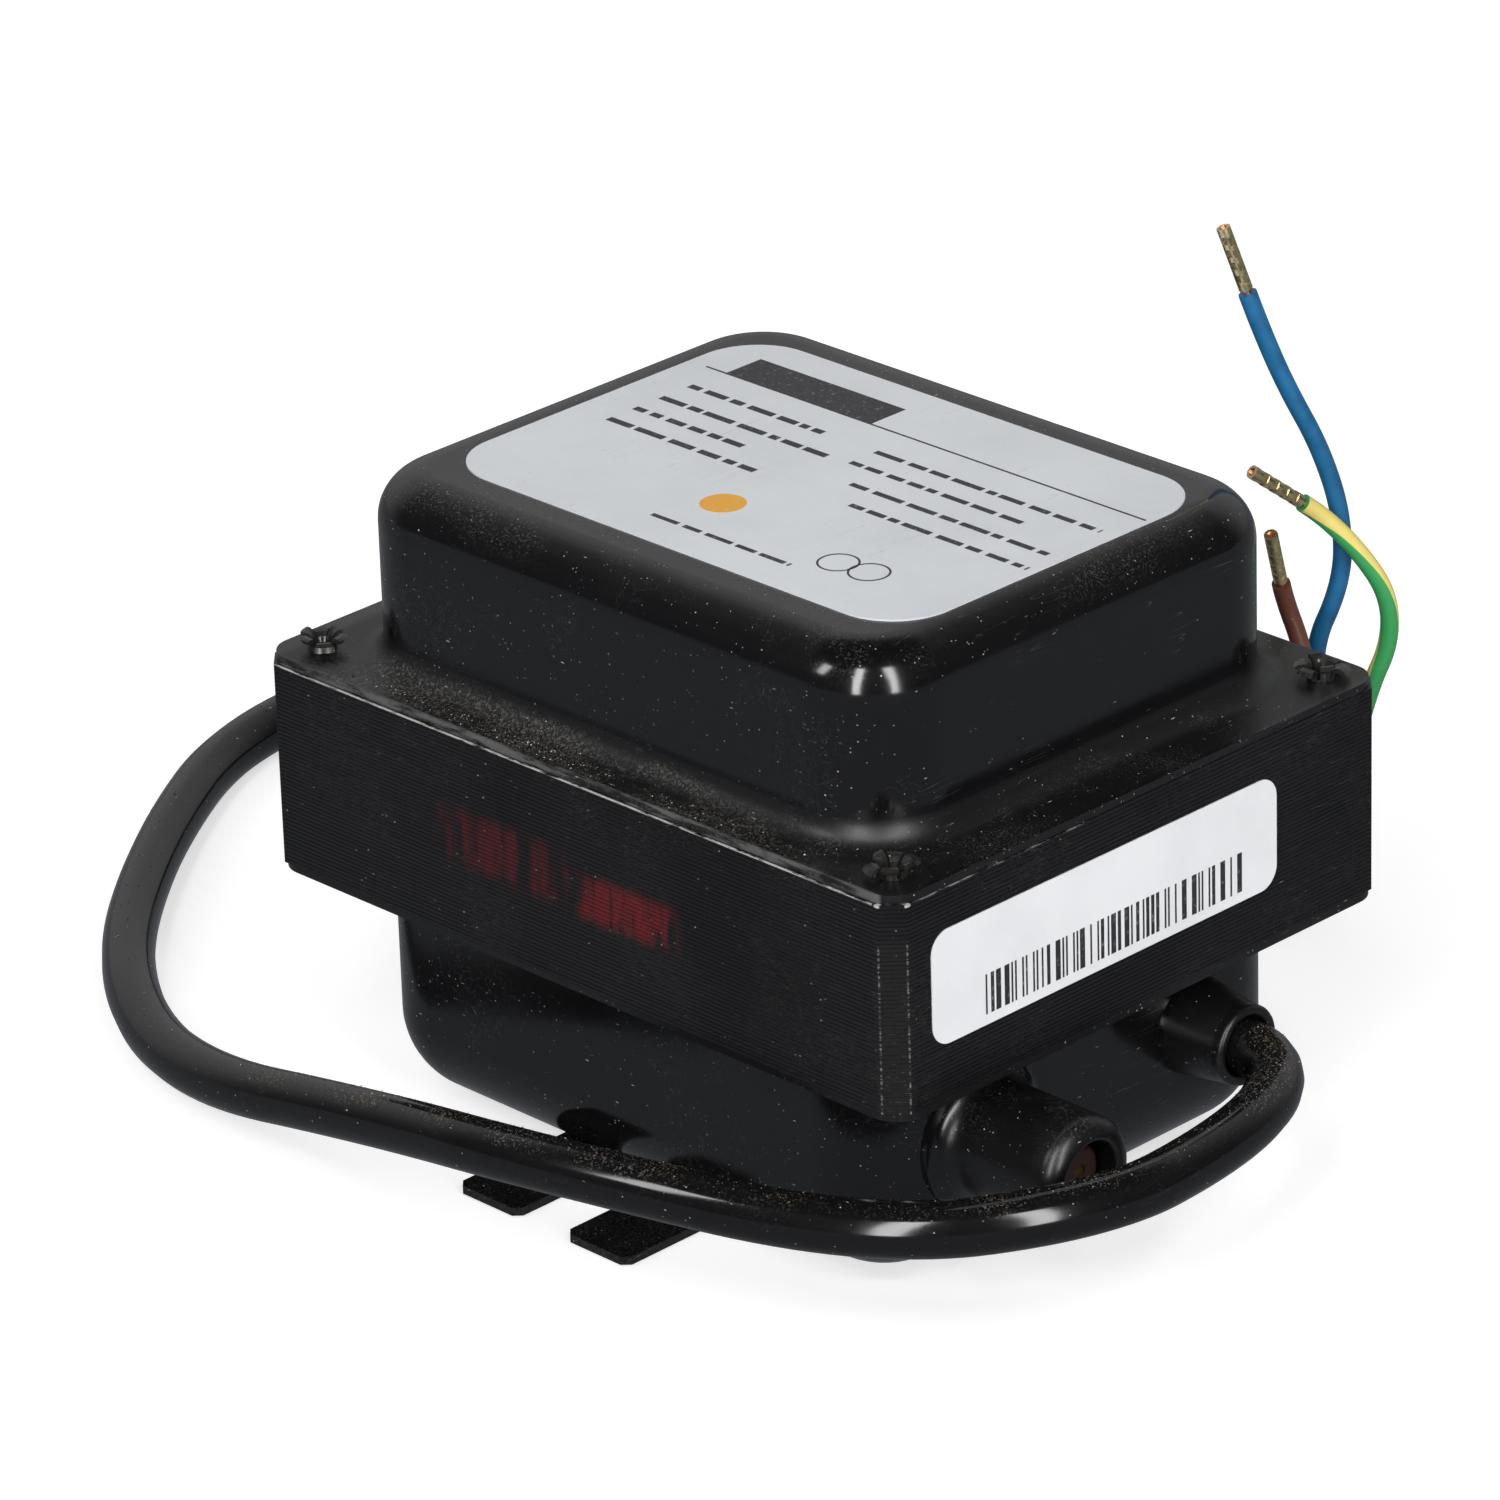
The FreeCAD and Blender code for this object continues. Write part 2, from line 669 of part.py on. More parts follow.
def rivet(x, y, number):
    low = -HALF_H - COVER_SHEET
    high = HALF_H + COVER_SHEET
    shank = Part.makeCylinder(RIVET_R, high - low, V(x, y, low))
    head = Part.makeCylinder(RIVET_R + RIVET_HEAD, RIVET_HEAD_T, V(x, y, low - RIVET_HEAD_T))
    foot = low - 2 * RIVET_HEAD_T
    bore = Part.makeCylinder(RIVET_R - RIVET_WALL, high - foot + 1, V(x, y, foot))
    body = shank.fuse(head).cut(bore)
    petals = []
    for i in range(PETALS):
        turn = number * 23 + i * 360 / PETALS
        uneven = math.sin(2.3 * i + 1.7 * number)
        rise = PETAL_RISE * (1 + 0.6 * uneven)
        bend = PETAL_BEND - PETAL_UNEVEN * uneven
        petals.append(curl(x, y, turn, 360 / PETALS - PETAL_GAP, rise, bend))
    return body.fuse(petals)


def make_rivets():
    return Part.makeCompound([rivet(x, y, n) for n, (x, y) in enumerate(rivet_places())])


# Mounting strips
def make_strips():
    strips = []
    for x in STRIP_X:
        bar = box(x - STRIP_W / 2, x + STRIP_W / 2, -STRIP_L / 2, STRIP_L / 2,
                  GROUND, LOWER_BOTTOM)
        upright = []
        for edge in bar.Edges:
            if edge.BoundBox.ZLength > STRIP_T / 2:
                upright.append(edge)
        bar = bar.makeChamfer(STRIP_CHAMFER, upright)
        depth = 0.3
        ball = (WELD_R ** 2 + depth ** 2) / (2 * depth)
        for y in WELD_Y:
            bar = bar.cut(Part.makeSphere(ball, V(x, y, GROUND + depth - ball)))
        strips.append(bar)
    return Part.makeCompound(strips)


# Labels
def make_rating_label():
    label = rounded_block(LABEL_L / 2, LABEL_W / 2, LABEL_CORNER, 0, LABEL_T)
    label.translate(V(LABEL_X, LABEL_Y, UPPER_TOP))
    return label


def make_side_label():
    label = block_along_x(SIDE_LABEL_L / 2, SIDE_LABEL_H / 2, SIDE_LABEL_CORNER,
                          0, SIDE_LABEL_T)
    label.translate(V(HALF_L, SIDE_LABEL_Y, SIDE_LABEL_Z))
    return label


# Wire ends
def set_at_end(shape, route, offset):
    """Moves a piece drawn up z to stand on the end of a route."""
    end = V(*route[-1])
    heading = end - V(*route[-2])
    heading.normalize()
    placed = shape.copy()
    placed.Placement = FreeCAD.Placement(end + heading * offset,
                                         FreeCAD.Rotation(Z_AXIS, heading))
    return placed


def ferrule_shape():
    """Crimped end sleeve with presses bitten into its four sides."""
    sleeve = Part.makeCylinder(FERRULE_R, FERRULE_L)
    bore = Part.makeCylinder(FERRULE_BORE, FERRULE_L + 2, V(0, 0, -1))
    bites = []
    for i in range(4):
        for side in range(4):
            z = 0.9 + 1.6 * i + 0.25 * (side % 2)
            bite = box(FERRULE_R - 0.16, FERRULE_R + 1, -0.9, 0.9, z, z + 0.95)
            bite.rotate(V(0, 0, 0), Z_AXIS, 90 * side)
            bites.append(bite)
    return sleeve.cut([bore] + bites)


def make_strands(routes):
    cores = []
    for route in routes:
        core = Part.makeCylinder(FERRULE_BORE, FERRULE_OFF + FERRULE_L - 0.2)
        cores.append(set_at_end(core, route, 0))
    return Part.makeCompound(cores)


def build():
    ferrule = ferrule_shape()
    blue = outer_route(BLUE_TURN, BLUE_REST)
    brown = outer_route(BROWN_TURN, BROWN_REST)
    earth = outer_route(EARTH_TURN, EARTH_REST)
    return {
        "core_frame": make_core_frame(),
        "core_centre_leg": make_centre_leg(),
        "magnetic_shunts": make_shunts(),
        "shunt_gap_papers": make_gap_papers(),
        "primary_bobbin": bobbin(PRIMARY_X, 1),
        "primary_winding": winding(PRIMARY_X, 1),
        "primary_wrap": wrap(PRIMARY_X, 1),
        "secondary_bobbin": make_secondary_bobbin(),
        "secondary_winding": winding(SECONDARY_X, CHAMBERS),
        "secondary_wrap": wrap(SECONDARY_X, CHAMBERS),
        "upper_cover": make_upper_cover(),
        "lower_cover": make_lower_cover(),
        "lower_potting": make_potting(),
        "corner_rivets": make_rivets(),
        "mounting_strips": make_strips(),
        "hv_neck": make_hv_neck(),
        "hv_insulator_sleeve": make_hv_sleeve(),
        "hv_contact_pin": make_hv_pin(),
        "hv_tail": make_hv_tail(),
        "cable_neck": make_cable_neck(),
        "cable_bush": make_cable_bush(),
        "cable_grip_ring": make_grip_ring(),
        "inner_neutral_lead": tube_along(inner_route(NEUTRAL_TURN, NEUTRAL_INNER), WIRE_R, "inner neutral"),
        "inner_live_lead": tube_along(inner_route(LIVE_TURN, LIVE_INNER), WIRE_R, "inner live"),
        "inner_earth_lead": tube_along(inner_route(90, EARTH_INNER), WIRE_R, "inner earth"),
        "earth_lug": make_earth_lug(),
        "rating_label": make_rating_label(),
        "side_label": make_side_label(),
        "mains_cable": tube_along(LEAD_ROUTE, LEAD_R, "mains cable"),
        "blue_wire": tube_along(blue, WIRE_R, "blue wire"),
        "brown_wire": tube_along(brown, WIRE_R, "brown wire"),
        "earth_wire": tube_along(earth, WIRE_R, "earth wire"),
        "blue_ferrule": set_at_end(ferrule, blue, FERRULE_OFF),
        "brown_ferrule": set_at_end(ferrule, brown, FERRULE_OFF),
        "earth_ferrule": set_at_end(ferrule, earth, FERRULE_OFF),
        "wire_strands": make_strands((blue, brown, earth)),
    }


os.makedirs("parts", exist_ok=True)
for name, shape in build().items():
    shape.translate(V(-MID_X, 0, -GROUND))
    shape.exportStep("parts/" + name + ".step")
    bound = shape.BoundBox
    print(name, "solids", len(shape.Solids), "valid", shape.isValid(),
          "x %.2f %.2f y %.2f %.2f z %.2f %.2f" % (bound.XMin, bound.XMax, bound.YMin,
                                                   bound.YMax, bound.ZMin, bound.ZMax))
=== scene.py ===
import json
import math
import random

import bpy
from bpy.props import FloatProperty, FloatVectorProperty, IntProperty, PointerProperty
from mathutils import Matrix, Vector, noise


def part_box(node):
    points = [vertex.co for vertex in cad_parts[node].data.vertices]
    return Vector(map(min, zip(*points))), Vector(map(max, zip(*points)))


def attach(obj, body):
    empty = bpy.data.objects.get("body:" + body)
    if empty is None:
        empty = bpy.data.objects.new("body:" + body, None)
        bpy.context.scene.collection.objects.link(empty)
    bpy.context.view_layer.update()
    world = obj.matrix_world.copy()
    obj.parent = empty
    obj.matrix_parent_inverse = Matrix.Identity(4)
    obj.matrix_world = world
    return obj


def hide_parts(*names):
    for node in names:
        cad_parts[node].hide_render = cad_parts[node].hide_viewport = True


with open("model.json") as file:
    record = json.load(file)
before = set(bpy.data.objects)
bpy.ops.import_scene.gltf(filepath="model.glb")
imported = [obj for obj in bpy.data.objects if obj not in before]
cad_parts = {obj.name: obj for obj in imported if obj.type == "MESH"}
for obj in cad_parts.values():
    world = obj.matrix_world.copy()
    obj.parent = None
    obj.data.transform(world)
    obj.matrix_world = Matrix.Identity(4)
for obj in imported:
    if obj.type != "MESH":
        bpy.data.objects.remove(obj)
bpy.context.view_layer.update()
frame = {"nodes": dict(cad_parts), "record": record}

bl_info = {
    "name": "Ignition transformer",
    "version": (1, 0, 0),
    "blender": (4, 5, 0),
    "location": "View3D > Sidebar > Transformer",
    "description": "Builds the finishes, lead, wires, dust, print and stage of an ignition transformer",
    "category": "Object",
}

MM = 0.001
NODES = frame["nodes"]
FINISHES = {}

# Camera: angles in degrees, places in millimetres, focal length in pixels of the full frame
CAM_AZIMUTH = 45.739
CAM_ELEVATION = 24.604
CAM_ROLL = -1.795
CAM_SHIFT = (7.901, -2.25)
CAM_DISTANCE = 940.048
CAM_FOCAL = 8460.0
PHOTO_PX = 1500
CORE_MIDDLE = Vector((-4.1, 0.0, 41.5))

# Sizes of the solids that the finishes follow, in millimetres
CORE_LOW, CORE_HIGH = (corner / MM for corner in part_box("core_frame"))
CORE_CHAMFER = 2.2
SHEETS = 49
COVER_SHEET = 1.0
FLANGE_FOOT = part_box("upper_cover")[0].z / MM
FLANGE_TOP = FLANGE_FOOT + COVER_SHEET
WALL_X = 37.2
WALL_Y = 33.07

# Boxes that bound the marks on the finishes, as two corners in millimetres
FLANGE_POWDER = ((-46.0, -38.0, FLANGE_TOP - 0.4), (34.0, -WALL_Y, FLANGE_TOP + 0.9))
# Flange edge: paint rubbed off, and a painted highlight along it
FLANGE_EDGE = ((-52.0, -38.7, FLANGE_FOOT - 0.1), (43.0, -38.3, FLANGE_TOP + 0.1))
COVER_ROOT = ((-50.0, -38.0, FLANGE_TOP), (44.0, 38.0, FLANGE_TOP + 2.4))
STRIPS = ((-40.0, -46.0, -0.5), (20.0, 46.0, COVER_SHEET + 0.1))
NECKS = ((38.2, -40.0, 0.0), (56.0, 40.0, 30.0))
# Front chamfer: where a painted reflection lightens the core
FRONT_CHAMFER = ((CORE_HIGH.x - CORE_CHAMFER, CORE_LOW.y, CORE_LOW.z),
                 (CORE_HIGH.x, CORE_LOW.y + CORE_CHAMFER, 49.0))
# Top of the chamfer's edge lines, which are partly rubbed bare and partly a painted highlight
CHAMFER_WEAR_AND_HIGHLIGHT_TOP = 49.5
SMEAR_LEFT = ((-23.5, CORE_LOW.y - 1, 39.3), (-5.0, CORE_LOW.y + 1, 44.0))
SMEAR_RIGHT = ((-5.0, CORE_LOW.y - 1, 38.9), (11.5, CORE_LOW.y + 1, 42.5))
CORNER_CHIP = ((CORE_LOW.x - 1, CORE_LOW.y - 1, 51.5), (CORE_LOW.x + 2.0, CORE_LOW.y + 1.4, 52.3))
LEAD_FRONT = ((-40.0, -60.0, 12.0), (62.0, 12.0, 24.0))

# Control points of the lead and its wires, in millimetres
LEAD_MM = (
    (31.5, 15.6, 17.9), (40.8, 15.6, 17.9), (49.3, 15.5, 17.9), (55.5, 9.0, 17.6),
    (58.8, -3.5, 17.4), (59.9, -22.5, 17.8), (44.0, -42.8, 16.3), (6.1, -54.1, 16.8),
    (-23.0, -52.3, 11.8), (-58.3, -50.2, 4.2), (-85.1, -36.1, 3.2), (-108.0, -10.1, 3.2),
    (-125.3, 18.8, 3.2), (-122.3, 52.6, 3.2), (-100.1, 78.4, 3.2), (-68.0, 87.9, 3.2),
    (-34.8, 87.3, 3.2), (-2.0, 76.5, 3.2), (13.9, 64.0, 13.0), (22.3, 55.8, 27.5))
LEAD_EXIT = (45.55, 15.6, 17.9)
BLUE_MM = (
    (21.22, 55.95, 28.21), (22.57, 54.63, 30.54), (22.5, 51.5, 46.1), (25.2, 54.2, 55.0),
    (24.7, 54.7, 62.8), (23.5, 52.4, 71.4), (21.3, 49.2, 79.1), (19.5, 47.0, 86.2),
    (18.5, 45.9, 90.6))
BROWN_MM = (
    (22.47, 54.72, 26.79), (23.82, 53.41, 29.12), (25.8, 48.4, 42.9), (24.3, 48.2, 49.1),
    (22.5, 47.4, 54.4), (23.0, 46.3, 56.8))
EARTH_MM = (
    (23.21, 56.73, 27.5), (24.56, 55.41, 29.83), (29.2, 54.1, 43.0), (30.4, 56.4, 48.4),
    (30.2, 56.3, 54.3), (28.0, 53.7, 59.8), (25.3, 50.7, 64.3), (24.5, 48.3, 66.3))
WIRES = (
    ("wire_blue", BLUE_MM, "blue_pvc", "blue_wire", "blue_ferrule"),
    ("wire_brown", BROWN_MM, "brown_pvc", "brown_wire", "brown_ferrule"),
    ("wire_earth", EARTH_MM, "green_yellow_pvc", "earth_wire", "earth_ferrule"))

# Green stripe of the earth wire: turn in radians for each metre of height, and where it starts
STRIPE_TWIST = 94.0
STRIPE_START = 3.86

# Grains on the flange: how far they reach from the wall, how many lie on the long side, and where
GRAIN_REACH = 4.6
LONG_SIDE_SHARE = 0.86
LONG_SIDE_X = (-46.0, 36.0, -14.0)
END_SIDE_Y = (-32.0, 4.0)

# Grains on the lead: fewer left of this place, none on the last steps of its path, smaller
LEAD_DUSTY_FROM = -45.0
LEAD_THIN_SHARE = 0.22
LEAD_CLEAN_STEPS = 30
LEAD_GRAIN = 0.62

# Print on the labels, in millimetres
INK_THICK = 0.02
PRINT_SEED = 21
TOP_BARS = ((-35.7, 31.6, 14.75, 15.05), (-32.6, -9.8, 15.05, 20.5))  # x0, x1, y0, y1
TOP_LINES = (  # x0, x1, middle y, twice the height
    (-33.0, -12.0, 9.6, 2.0), (-33.0, -7.0, 5.1, 2.0), (-33.0, -16.0, 1.0, 2.0),
    (-33.0, -10.0, -3.1, 2.0), (-3.8, 30.0, 9.5, 1.7), (-3.8, 22.0, 5.6, 1.7),
    (0.5, 30.0, 1.2, 1.7), (4.5, 31.0, -3.0, 1.7), (-9.9, 11.2, -19.0, 1.4))
LINE_DASH = (1.2, 4.5)
LINE_GAP = (0.5, 1.0)
TOP_RINGS = ((14.6, -15.1), (18.9, -14.8))
RING_OUTER, RING_INNER = 2.4, 2.15
TOP_SPOT = (-6.2, -11.8, 2.6)  # x, y, radius
SIDE_BARS = (-25.2, 15.7, 36.8, 41.5)  # y0, y1, z0, z1
BAR_WIDTHS = (0.26, 0.26, 0.5, 0.75)
BAR_GAPS = (0.28, 0.3, 0.55, 0.85)

# Soft boxes: turn from the camera's side and lift in degrees, width and height in metres
FRONT_LEFT = (-19.0, 27.0, (0.18, 1.2))
FRONT_RIGHT = (24.0, 27.0, (0.18, 1.2))
LEFT = (-66.0, 36.0, (0.2, 0.4))
LIGHT_REACH = 1.2
LIGHT_AIM = Vector((0.0, 0.0, 0.045))

# Room that reflections see: its brightness straight down, straight up and at places between them,
# how much of it is left on the camera's side, and the floor's brightness
ROOM_DOWN, ROOM_UP = 0.2, 0.03
ROOM_SIDES = ((0.5, 0.3), (0.62, 0.42), (0.7, 0.5), (0.84, 0.46), (0.91, 0.06))
ROOM_NEAR = 0.12
FLOOR_SHINE = 0.2

# Floor: half its width in metres, and how far it lies below the object in millimetres
FLOOR_HALF = 6.0
FLOOR_DROP = 0.2


# Settings shown in the sidebar
class LookSettings(bpy.types.PropertyGroup):
    """Colours and dirt."""

    paint: FloatVectorProperty(
        name="Paint", description="Gloss paint of the covers and necks", subtype="COLOR",
        default=(0.0036, 0.0037, 0.0042), min=0.0, max=1.0)
    label: FloatVectorProperty(
        name="Top label", description="Foil of the top label", subtype="COLOR",
        default=(0.63, 0.65, 0.675), min=0.0, max=1.0)
    dust: FloatProperty(
        name="Dust", description="Amount of settled dust", default=1.0, min=0.0, max=2.0,
        subtype="FACTOR")
    scratches: FloatProperty(
        name="Scratches", description="Strength of the fine scratches", default=1.0,
        min=0.0, max=2.0, subtype="FACTOR")


class LeadSettings(bpy.types.PropertyGroup):
    """Thickness of the lead and its wires."""

    lead: FloatProperty(
        name="Lead", description="Diameter of the mains lead", default=6.35 * MM,
        min=2 * MM, max=12 * MM, unit="LENGTH", subtype="DISTANCE")
    wire: FloatProperty(
        name="Wire", description="Diameter of each wire's insulation", default=2.15 * MM,
        min=1 * MM, max=4 * MM, unit="LENGTH", subtype="DISTANCE")


class FilingSettings(bpy.types.PropertyGroup):
    """Loose grains on the flange and the lead."""

    flange_grains: IntProperty(
        name="Flange grains", description="Grains along the foot of the upper cover",
        default=5400, min=0, max=20000)
    lead_grains: IntProperty(
        name="Lead grains", description="Specks on the top of the lead",
        default=3200, min=0, max=10000)
    grain: FloatProperty(
        name="Grain size", description="Mean radius of a grain", default=0.085 * MM,
        min=0.02 * MM, max=1 * MM, unit="LENGTH", subtype="DISTANCE")
    seed: IntProperty(name="Seed", description="Seed of the scatter", default=7)


class StageSettings(bpy.types.PropertyGroup):
    """Lights."""

    key_power: FloatProperty(
        name="Key power", description="Power of each front soft box in watts",
        default=9.2, min=0.0, max=100.0)
    side_power: FloatProperty(
        name="Side power", description="Power of the left soft box in watts",
        default=2.4, min=0.0, max=100.0)
    ambient: FloatProperty(
        name="Ambient", description="Brightness of the surrounding light",
        default=0.36, min=0.0, max=4.0)


# Node building
class Net:
    """Short calls for building one node tree."""

    def __init__(self, tree):
        self.tree = tree

    def feed(self, socket, value):
        if isinstance(value, bpy.types.NodeSocket):
            self.tree.links.new(value, socket)
        else:
            socket.default_value = value

    def add(self, kind, inputs=None, **settings):
        made = self.tree.nodes.new(kind)
        for key, value in settings.items():
            setattr(made, key, value)
        for key, value in (inputs or {}).items():
            self.feed(made.inputs[key], value)
        return made

    def math(self, operation, a, b=0.0):
        return self.add("ShaderNodeMath", {0: a, 1: b}, operation=operation).outputs[0]

    def times(self, first, *others):
        for other in others:
            first = self.math("MULTIPLY", first, other)
        return first

    def most(self, first, *others):
        for other in others:
            first = self.math("MAXIMUM", first, other)
        return first

    def span(self, value, low, high, to_low=0.0, to_high=1.0):
        return self.add("ShaderNodeMapRange", {
            "Value": value, "From Min": low, "From Max": high,
            "To Min": to_low, "To Max": to_high}, interpolation_type="SMOOTHSTEP").outputs[0]

    def place(self):
        return self.add("ShaderNodeTexCoord").outputs["Object"]

    def noise(self, vector, scale, detail=3.0, rough=0.5):
        return self.add("ShaderNodeTexNoise", {
            "Vector": vector, "Scale": scale, "Detail": detail,
            "Roughness": rough}).outputs[0]

    def blend(self, factor, a, b):
        made = self.add("ShaderNodeMix", {0: factor, 6: a, 7: b}, data_type="RGBA")
        return made.outputs[2]

    def mix(self, factor, a, b):
        return self.add("ShaderNodeMix", {0: factor, 2: a, 3: b}, data_type="FLOAT").outputs[0]

    def split(self, vector):
        return self.add("ShaderNodeSeparateXYZ", {0: vector}).outputs

    def stretch(self, vector, factors, turn=(0.0, 0.0, 0.0)):
        return self.add("ShaderNodeMapping", {
            "Vector": vector, "Rotation": turn, "Scale": factors}).outputs[0]

    def use(self, group, **inputs):
        return self.add("ShaderNodeGroup", inputs, node_tree=group).outputs

    def bump(self, height, strength, distance=0.1 * MM):
        return self.add("ShaderNodeBump", {"Height": height, "Strength": strength,
                                           "Distance": distance}).outputs[0]


def effect(name, inputs, outputs, build):
    """Shared shader group whose outputs are masks or values that vary over the surface."""
    found = bpy.data.node_groups.get(name)
    if found:
        return found
    group = bpy.data.node_groups.new(name, "ShaderNodeTree")
    for label, kind, value in inputs:
        socket = group.interface.new_socket(label, in_out="INPUT", socket_type=kind)
        if value is not None:
            socket.default_value = value
    for label in outputs:
        group.interface.new_socket(label, in_out="OUTPUT", socket_type="NodeSocketFloat")
    net = Net(group)
    results = build(net, net.add("NodeGroupInput").outputs)
    out = net.add("NodeGroupOutput")
    for socket, value in zip(out.inputs, results):
        net.feed(socket, value)
    return group


def dust_group():
    """Mask of fine grains settled on faces that look up, in patches."""
    def build(net, ins):
        up = net.span(net.split(net.add("ShaderNodeNewGeometry").outputs["Normal"])[2], 0.25, 0.95)
        place = net.place()
        patch = net.span(net.noise(place, 70.0, 4.0, 0.65), 0.44, 0.66)
        grain = net.span(net.noise(place, ins["Scale"], 3.0, 0.75), 0.53, 0.63)
        return [net.times(grain, patch, up, ins["Amount"])]
    return effect("Settled dust", (("Amount", "NodeSocketFloat", 1.0),
                                   ("Scale", "NodeSocketFloat", 3600.0)), ("Mask",), build)


def speck_group():
    """Mask of small light specks and short fibres on every face."""
    def build(net, ins):
        place = net.place()
        masks = []
        for turn, shape, reach in (((0.0, 0.0, 0.0), (1.0, 1.0, 1.0), 0.17),
                                   ((0.5, 0.9, 0.3), (1.0, 0.16, 1.0), 0.1),
                                   ((-0.8, 0.2, 1.4), (0.2, 1.0, 1.0), 0.1)):
            cell = net.add("ShaderNodeTexVoronoi", {
                "Vector": net.stretch(place, shape, turn), "Scale": ins["Scale"]})
            pick = net.split(cell.outputs["Color"])
            near = net.span(cell.outputs["Distance"], reach, reach * 0.5)
            few = net.math("LESS_THAN", pick[0], ins["Share"])
            masks.append(net.times(near, few, net.span(pick[1], 0.0, 1.0, 0.15, 1.0)))
        crowd = net.span(net.noise(place, 130.0, 3.0), 0.35, 0.6, 0.25, 1.0)
        return [net.times(net.most(*masks), crowd)]
    return effect("Light specks", (("Scale", "NodeSocketFloat", 1500.0),
                                   ("Share", "NodeSocketFloat", 0.1)), ("Mask",), build)


def scratch_group():
    """Mask of thin scratches in three directions, broken along their length."""
    def build(net, ins):
        place = net.place()
        lines = []
        for turn in ((0.3, 0.2, 0.5), (1.2, -0.4, 2.1), (-0.7, 0.9, 1.3)):
            line = net.noise(net.stretch(place, (900.0, 40.0, 900.0), turn), 1.0, 1.0, 0.4)
            thin = net.span(net.math("ABSOLUTE", net.math("SUBTRACT", line, 0.5)), 0.006, 0.0)
            gate = net.span(net.noise(place, 70.0 + 20.0 * turn[0], 2.0), 0.56, 0.66)
            lines.append(net.times(thin, gate))
        return [net.times(net.most(*lines), ins["Amount"])]
    return effect("Fine scratches", (("Amount", "NodeSocketFloat", 1.0),), ("Mask",), build)


def sheet_group():
    """Height and tone of the stacked sheets' edges, counted up from the core's underside."""
    def build(net, ins):
        z = net.split(net.place())[2]
        pitch = (CORE_HIGH.z - CORE_LOW.z) * MM / SHEETS
        wave = net.math("DIVIDE", net.math("SUBTRACT", z, CORE_LOW.z * MM), pitch)
        away = net.math("ABSOLUTE", net.math("SUBTRACT", net.math("FRACT", wave), 0.5))
        tone = net.add("ShaderNodeTexWhiteNoise", {"W": net.math("FLOOR", wave)},
                       noise_dimensions="1D").outputs["Value"]
        return [net.span(away, 0.5, 0.22), tone]
    return effect("Sheet edges", (), ("Height", "Tone"), build)


def region_group():
    """Box mask in millimetres: 1 inside, falling to 0 over the feather."""
    def build(net, ins):
        place = net.split(net.place())
        middle, half = net.split(ins["Middle"]), net.split(ins["Half"])
        falls = []
        for axis in range(3):
            here = net.math("MULTIPLY", place[axis], 1.0 / MM)
            away = net.math("ABSOLUTE", net.math("SUBTRACT", here, middle[axis]))
            over = net.math("SUBTRACT", away, half[axis])
            falls.append(net.add("ShaderNodeMapRange", {
                "Value": over, "From Min": 0.0, "From Max": ins["Feather"],
                "To Min": 1.0, "To Max": 0.0}).outputs[0])
        return [net.times(*falls)]
    return effect("Box region", (("Middle", "NodeSocketVector", None),
                                 ("Half", "NodeSocketVector", None),
                                 ("Feather", "NodeSocketFloat", 2.0)), ("Mask",), build)


def region(net, low, high, feather):
    """Mask of the box between two corners given in millimetres."""
    low, high = Vector(low), Vector(high)
    return net.use(region_group(), Middle=(low + high) / 2, Half=(high - low) / 2,
                   Feather=feather)[0]


# Finishes
def shader(name):
    """New material with an empty Principled shader; returns its node tree and the shader."""
    made = bpy.data.materials.new("finish_" + name)
    made.use_nodes = True
    made.node_tree.nodes.clear()
    net = Net(made.node_tree)
    base = net.add("ShaderNodeBsdfPrincipled")
    out = net.add("ShaderNodeOutputMaterial")
    made.node_tree.links.new(base.outputs[0], out.inputs[0])
    FINISHES[name] = made
    return net, base


DUST = (0.15, 0.135, 0.115, 1.0)
POWDER = (0.14, 0.128, 0.108, 1.0)
SPECK = (0.42, 0.4, 0.36, 1.0)
# Pale grey of the core's rims: bare steel, and a painted edge highlight
BARE_AND_HIGHLIGHT = (0.42, 0.41, 0.4, 1.0)
RUST = (0.42, 0.2, 0.1, 1.0)
RED_SMEAR = (0.105, 0.006, 0.009, 1.0)


def grey(value, blue=1.0):
    return (value, value, value * blue, 1.0)


def dirty(net, base, shade, rough, dust, specks, scratches=0.0):
    """Lays dust, specks and scratches over a colour and a roughness, and feeds the shader."""
    look = bpy.context.scene.transformer_look
    mask = net.use(dust_group(), Amount=dust * look.dust)[0]
    dots = net.use(speck_group(), Share=specks)[0]
    if scratches:
        lines = net.use(scratch_group(), Amount=scratches * look.scratches)[0]
        shade = net.blend(lines, shade, grey(0.1))
        rough = net.mix(lines, rough, 0.4)
    shade = net.blend(mask, shade, DUST)
    shade = net.blend(dots, shade, SPECK)
    rough = net.mix(net.most(mask, dots), rough, 0.85)
    net.feed(base.inputs["Base Color"], shade)
    net.feed(base.inputs["Roughness"], rough)


def powder_mask(net, place):
    """Pale powder along the long side's flange and, thinner, on the strips' ends."""
    band = region(net, *FLANGE_POWDER, 1.6)
    drift = net.span(net.noise(net.stretch(place, (90.0, 260.0, 260.0)), 1.0, 4.0, 0.6), 0.36, 0.6)
    fine = net.span(net.noise(place, 2900.0, 2.0, 0.85), 0.51, 0.58)
    flange = net.times(band, drift, net.mix(fine, 0.0, 0.4))
    strips = net.times(region(net, *STRIPS, 0.1), fine, 0.12)
    return net.most(flange, strips)


def torn_and_highlit_edge_mask(net, place):
    """Paler band along the flange's edge on the long side: paint rubbed off, and a painted highlight
    along the edge.
    """
    torn_and_highlight = net.noise(net.stretch(place, (160.0, 900.0, 900.0)), 1.0, 4.0, 0.6)
    return net.times(region(net, *FLANGE_EDGE, 0.15), net.span(torn_and_highlight, 0.4, 0.6))


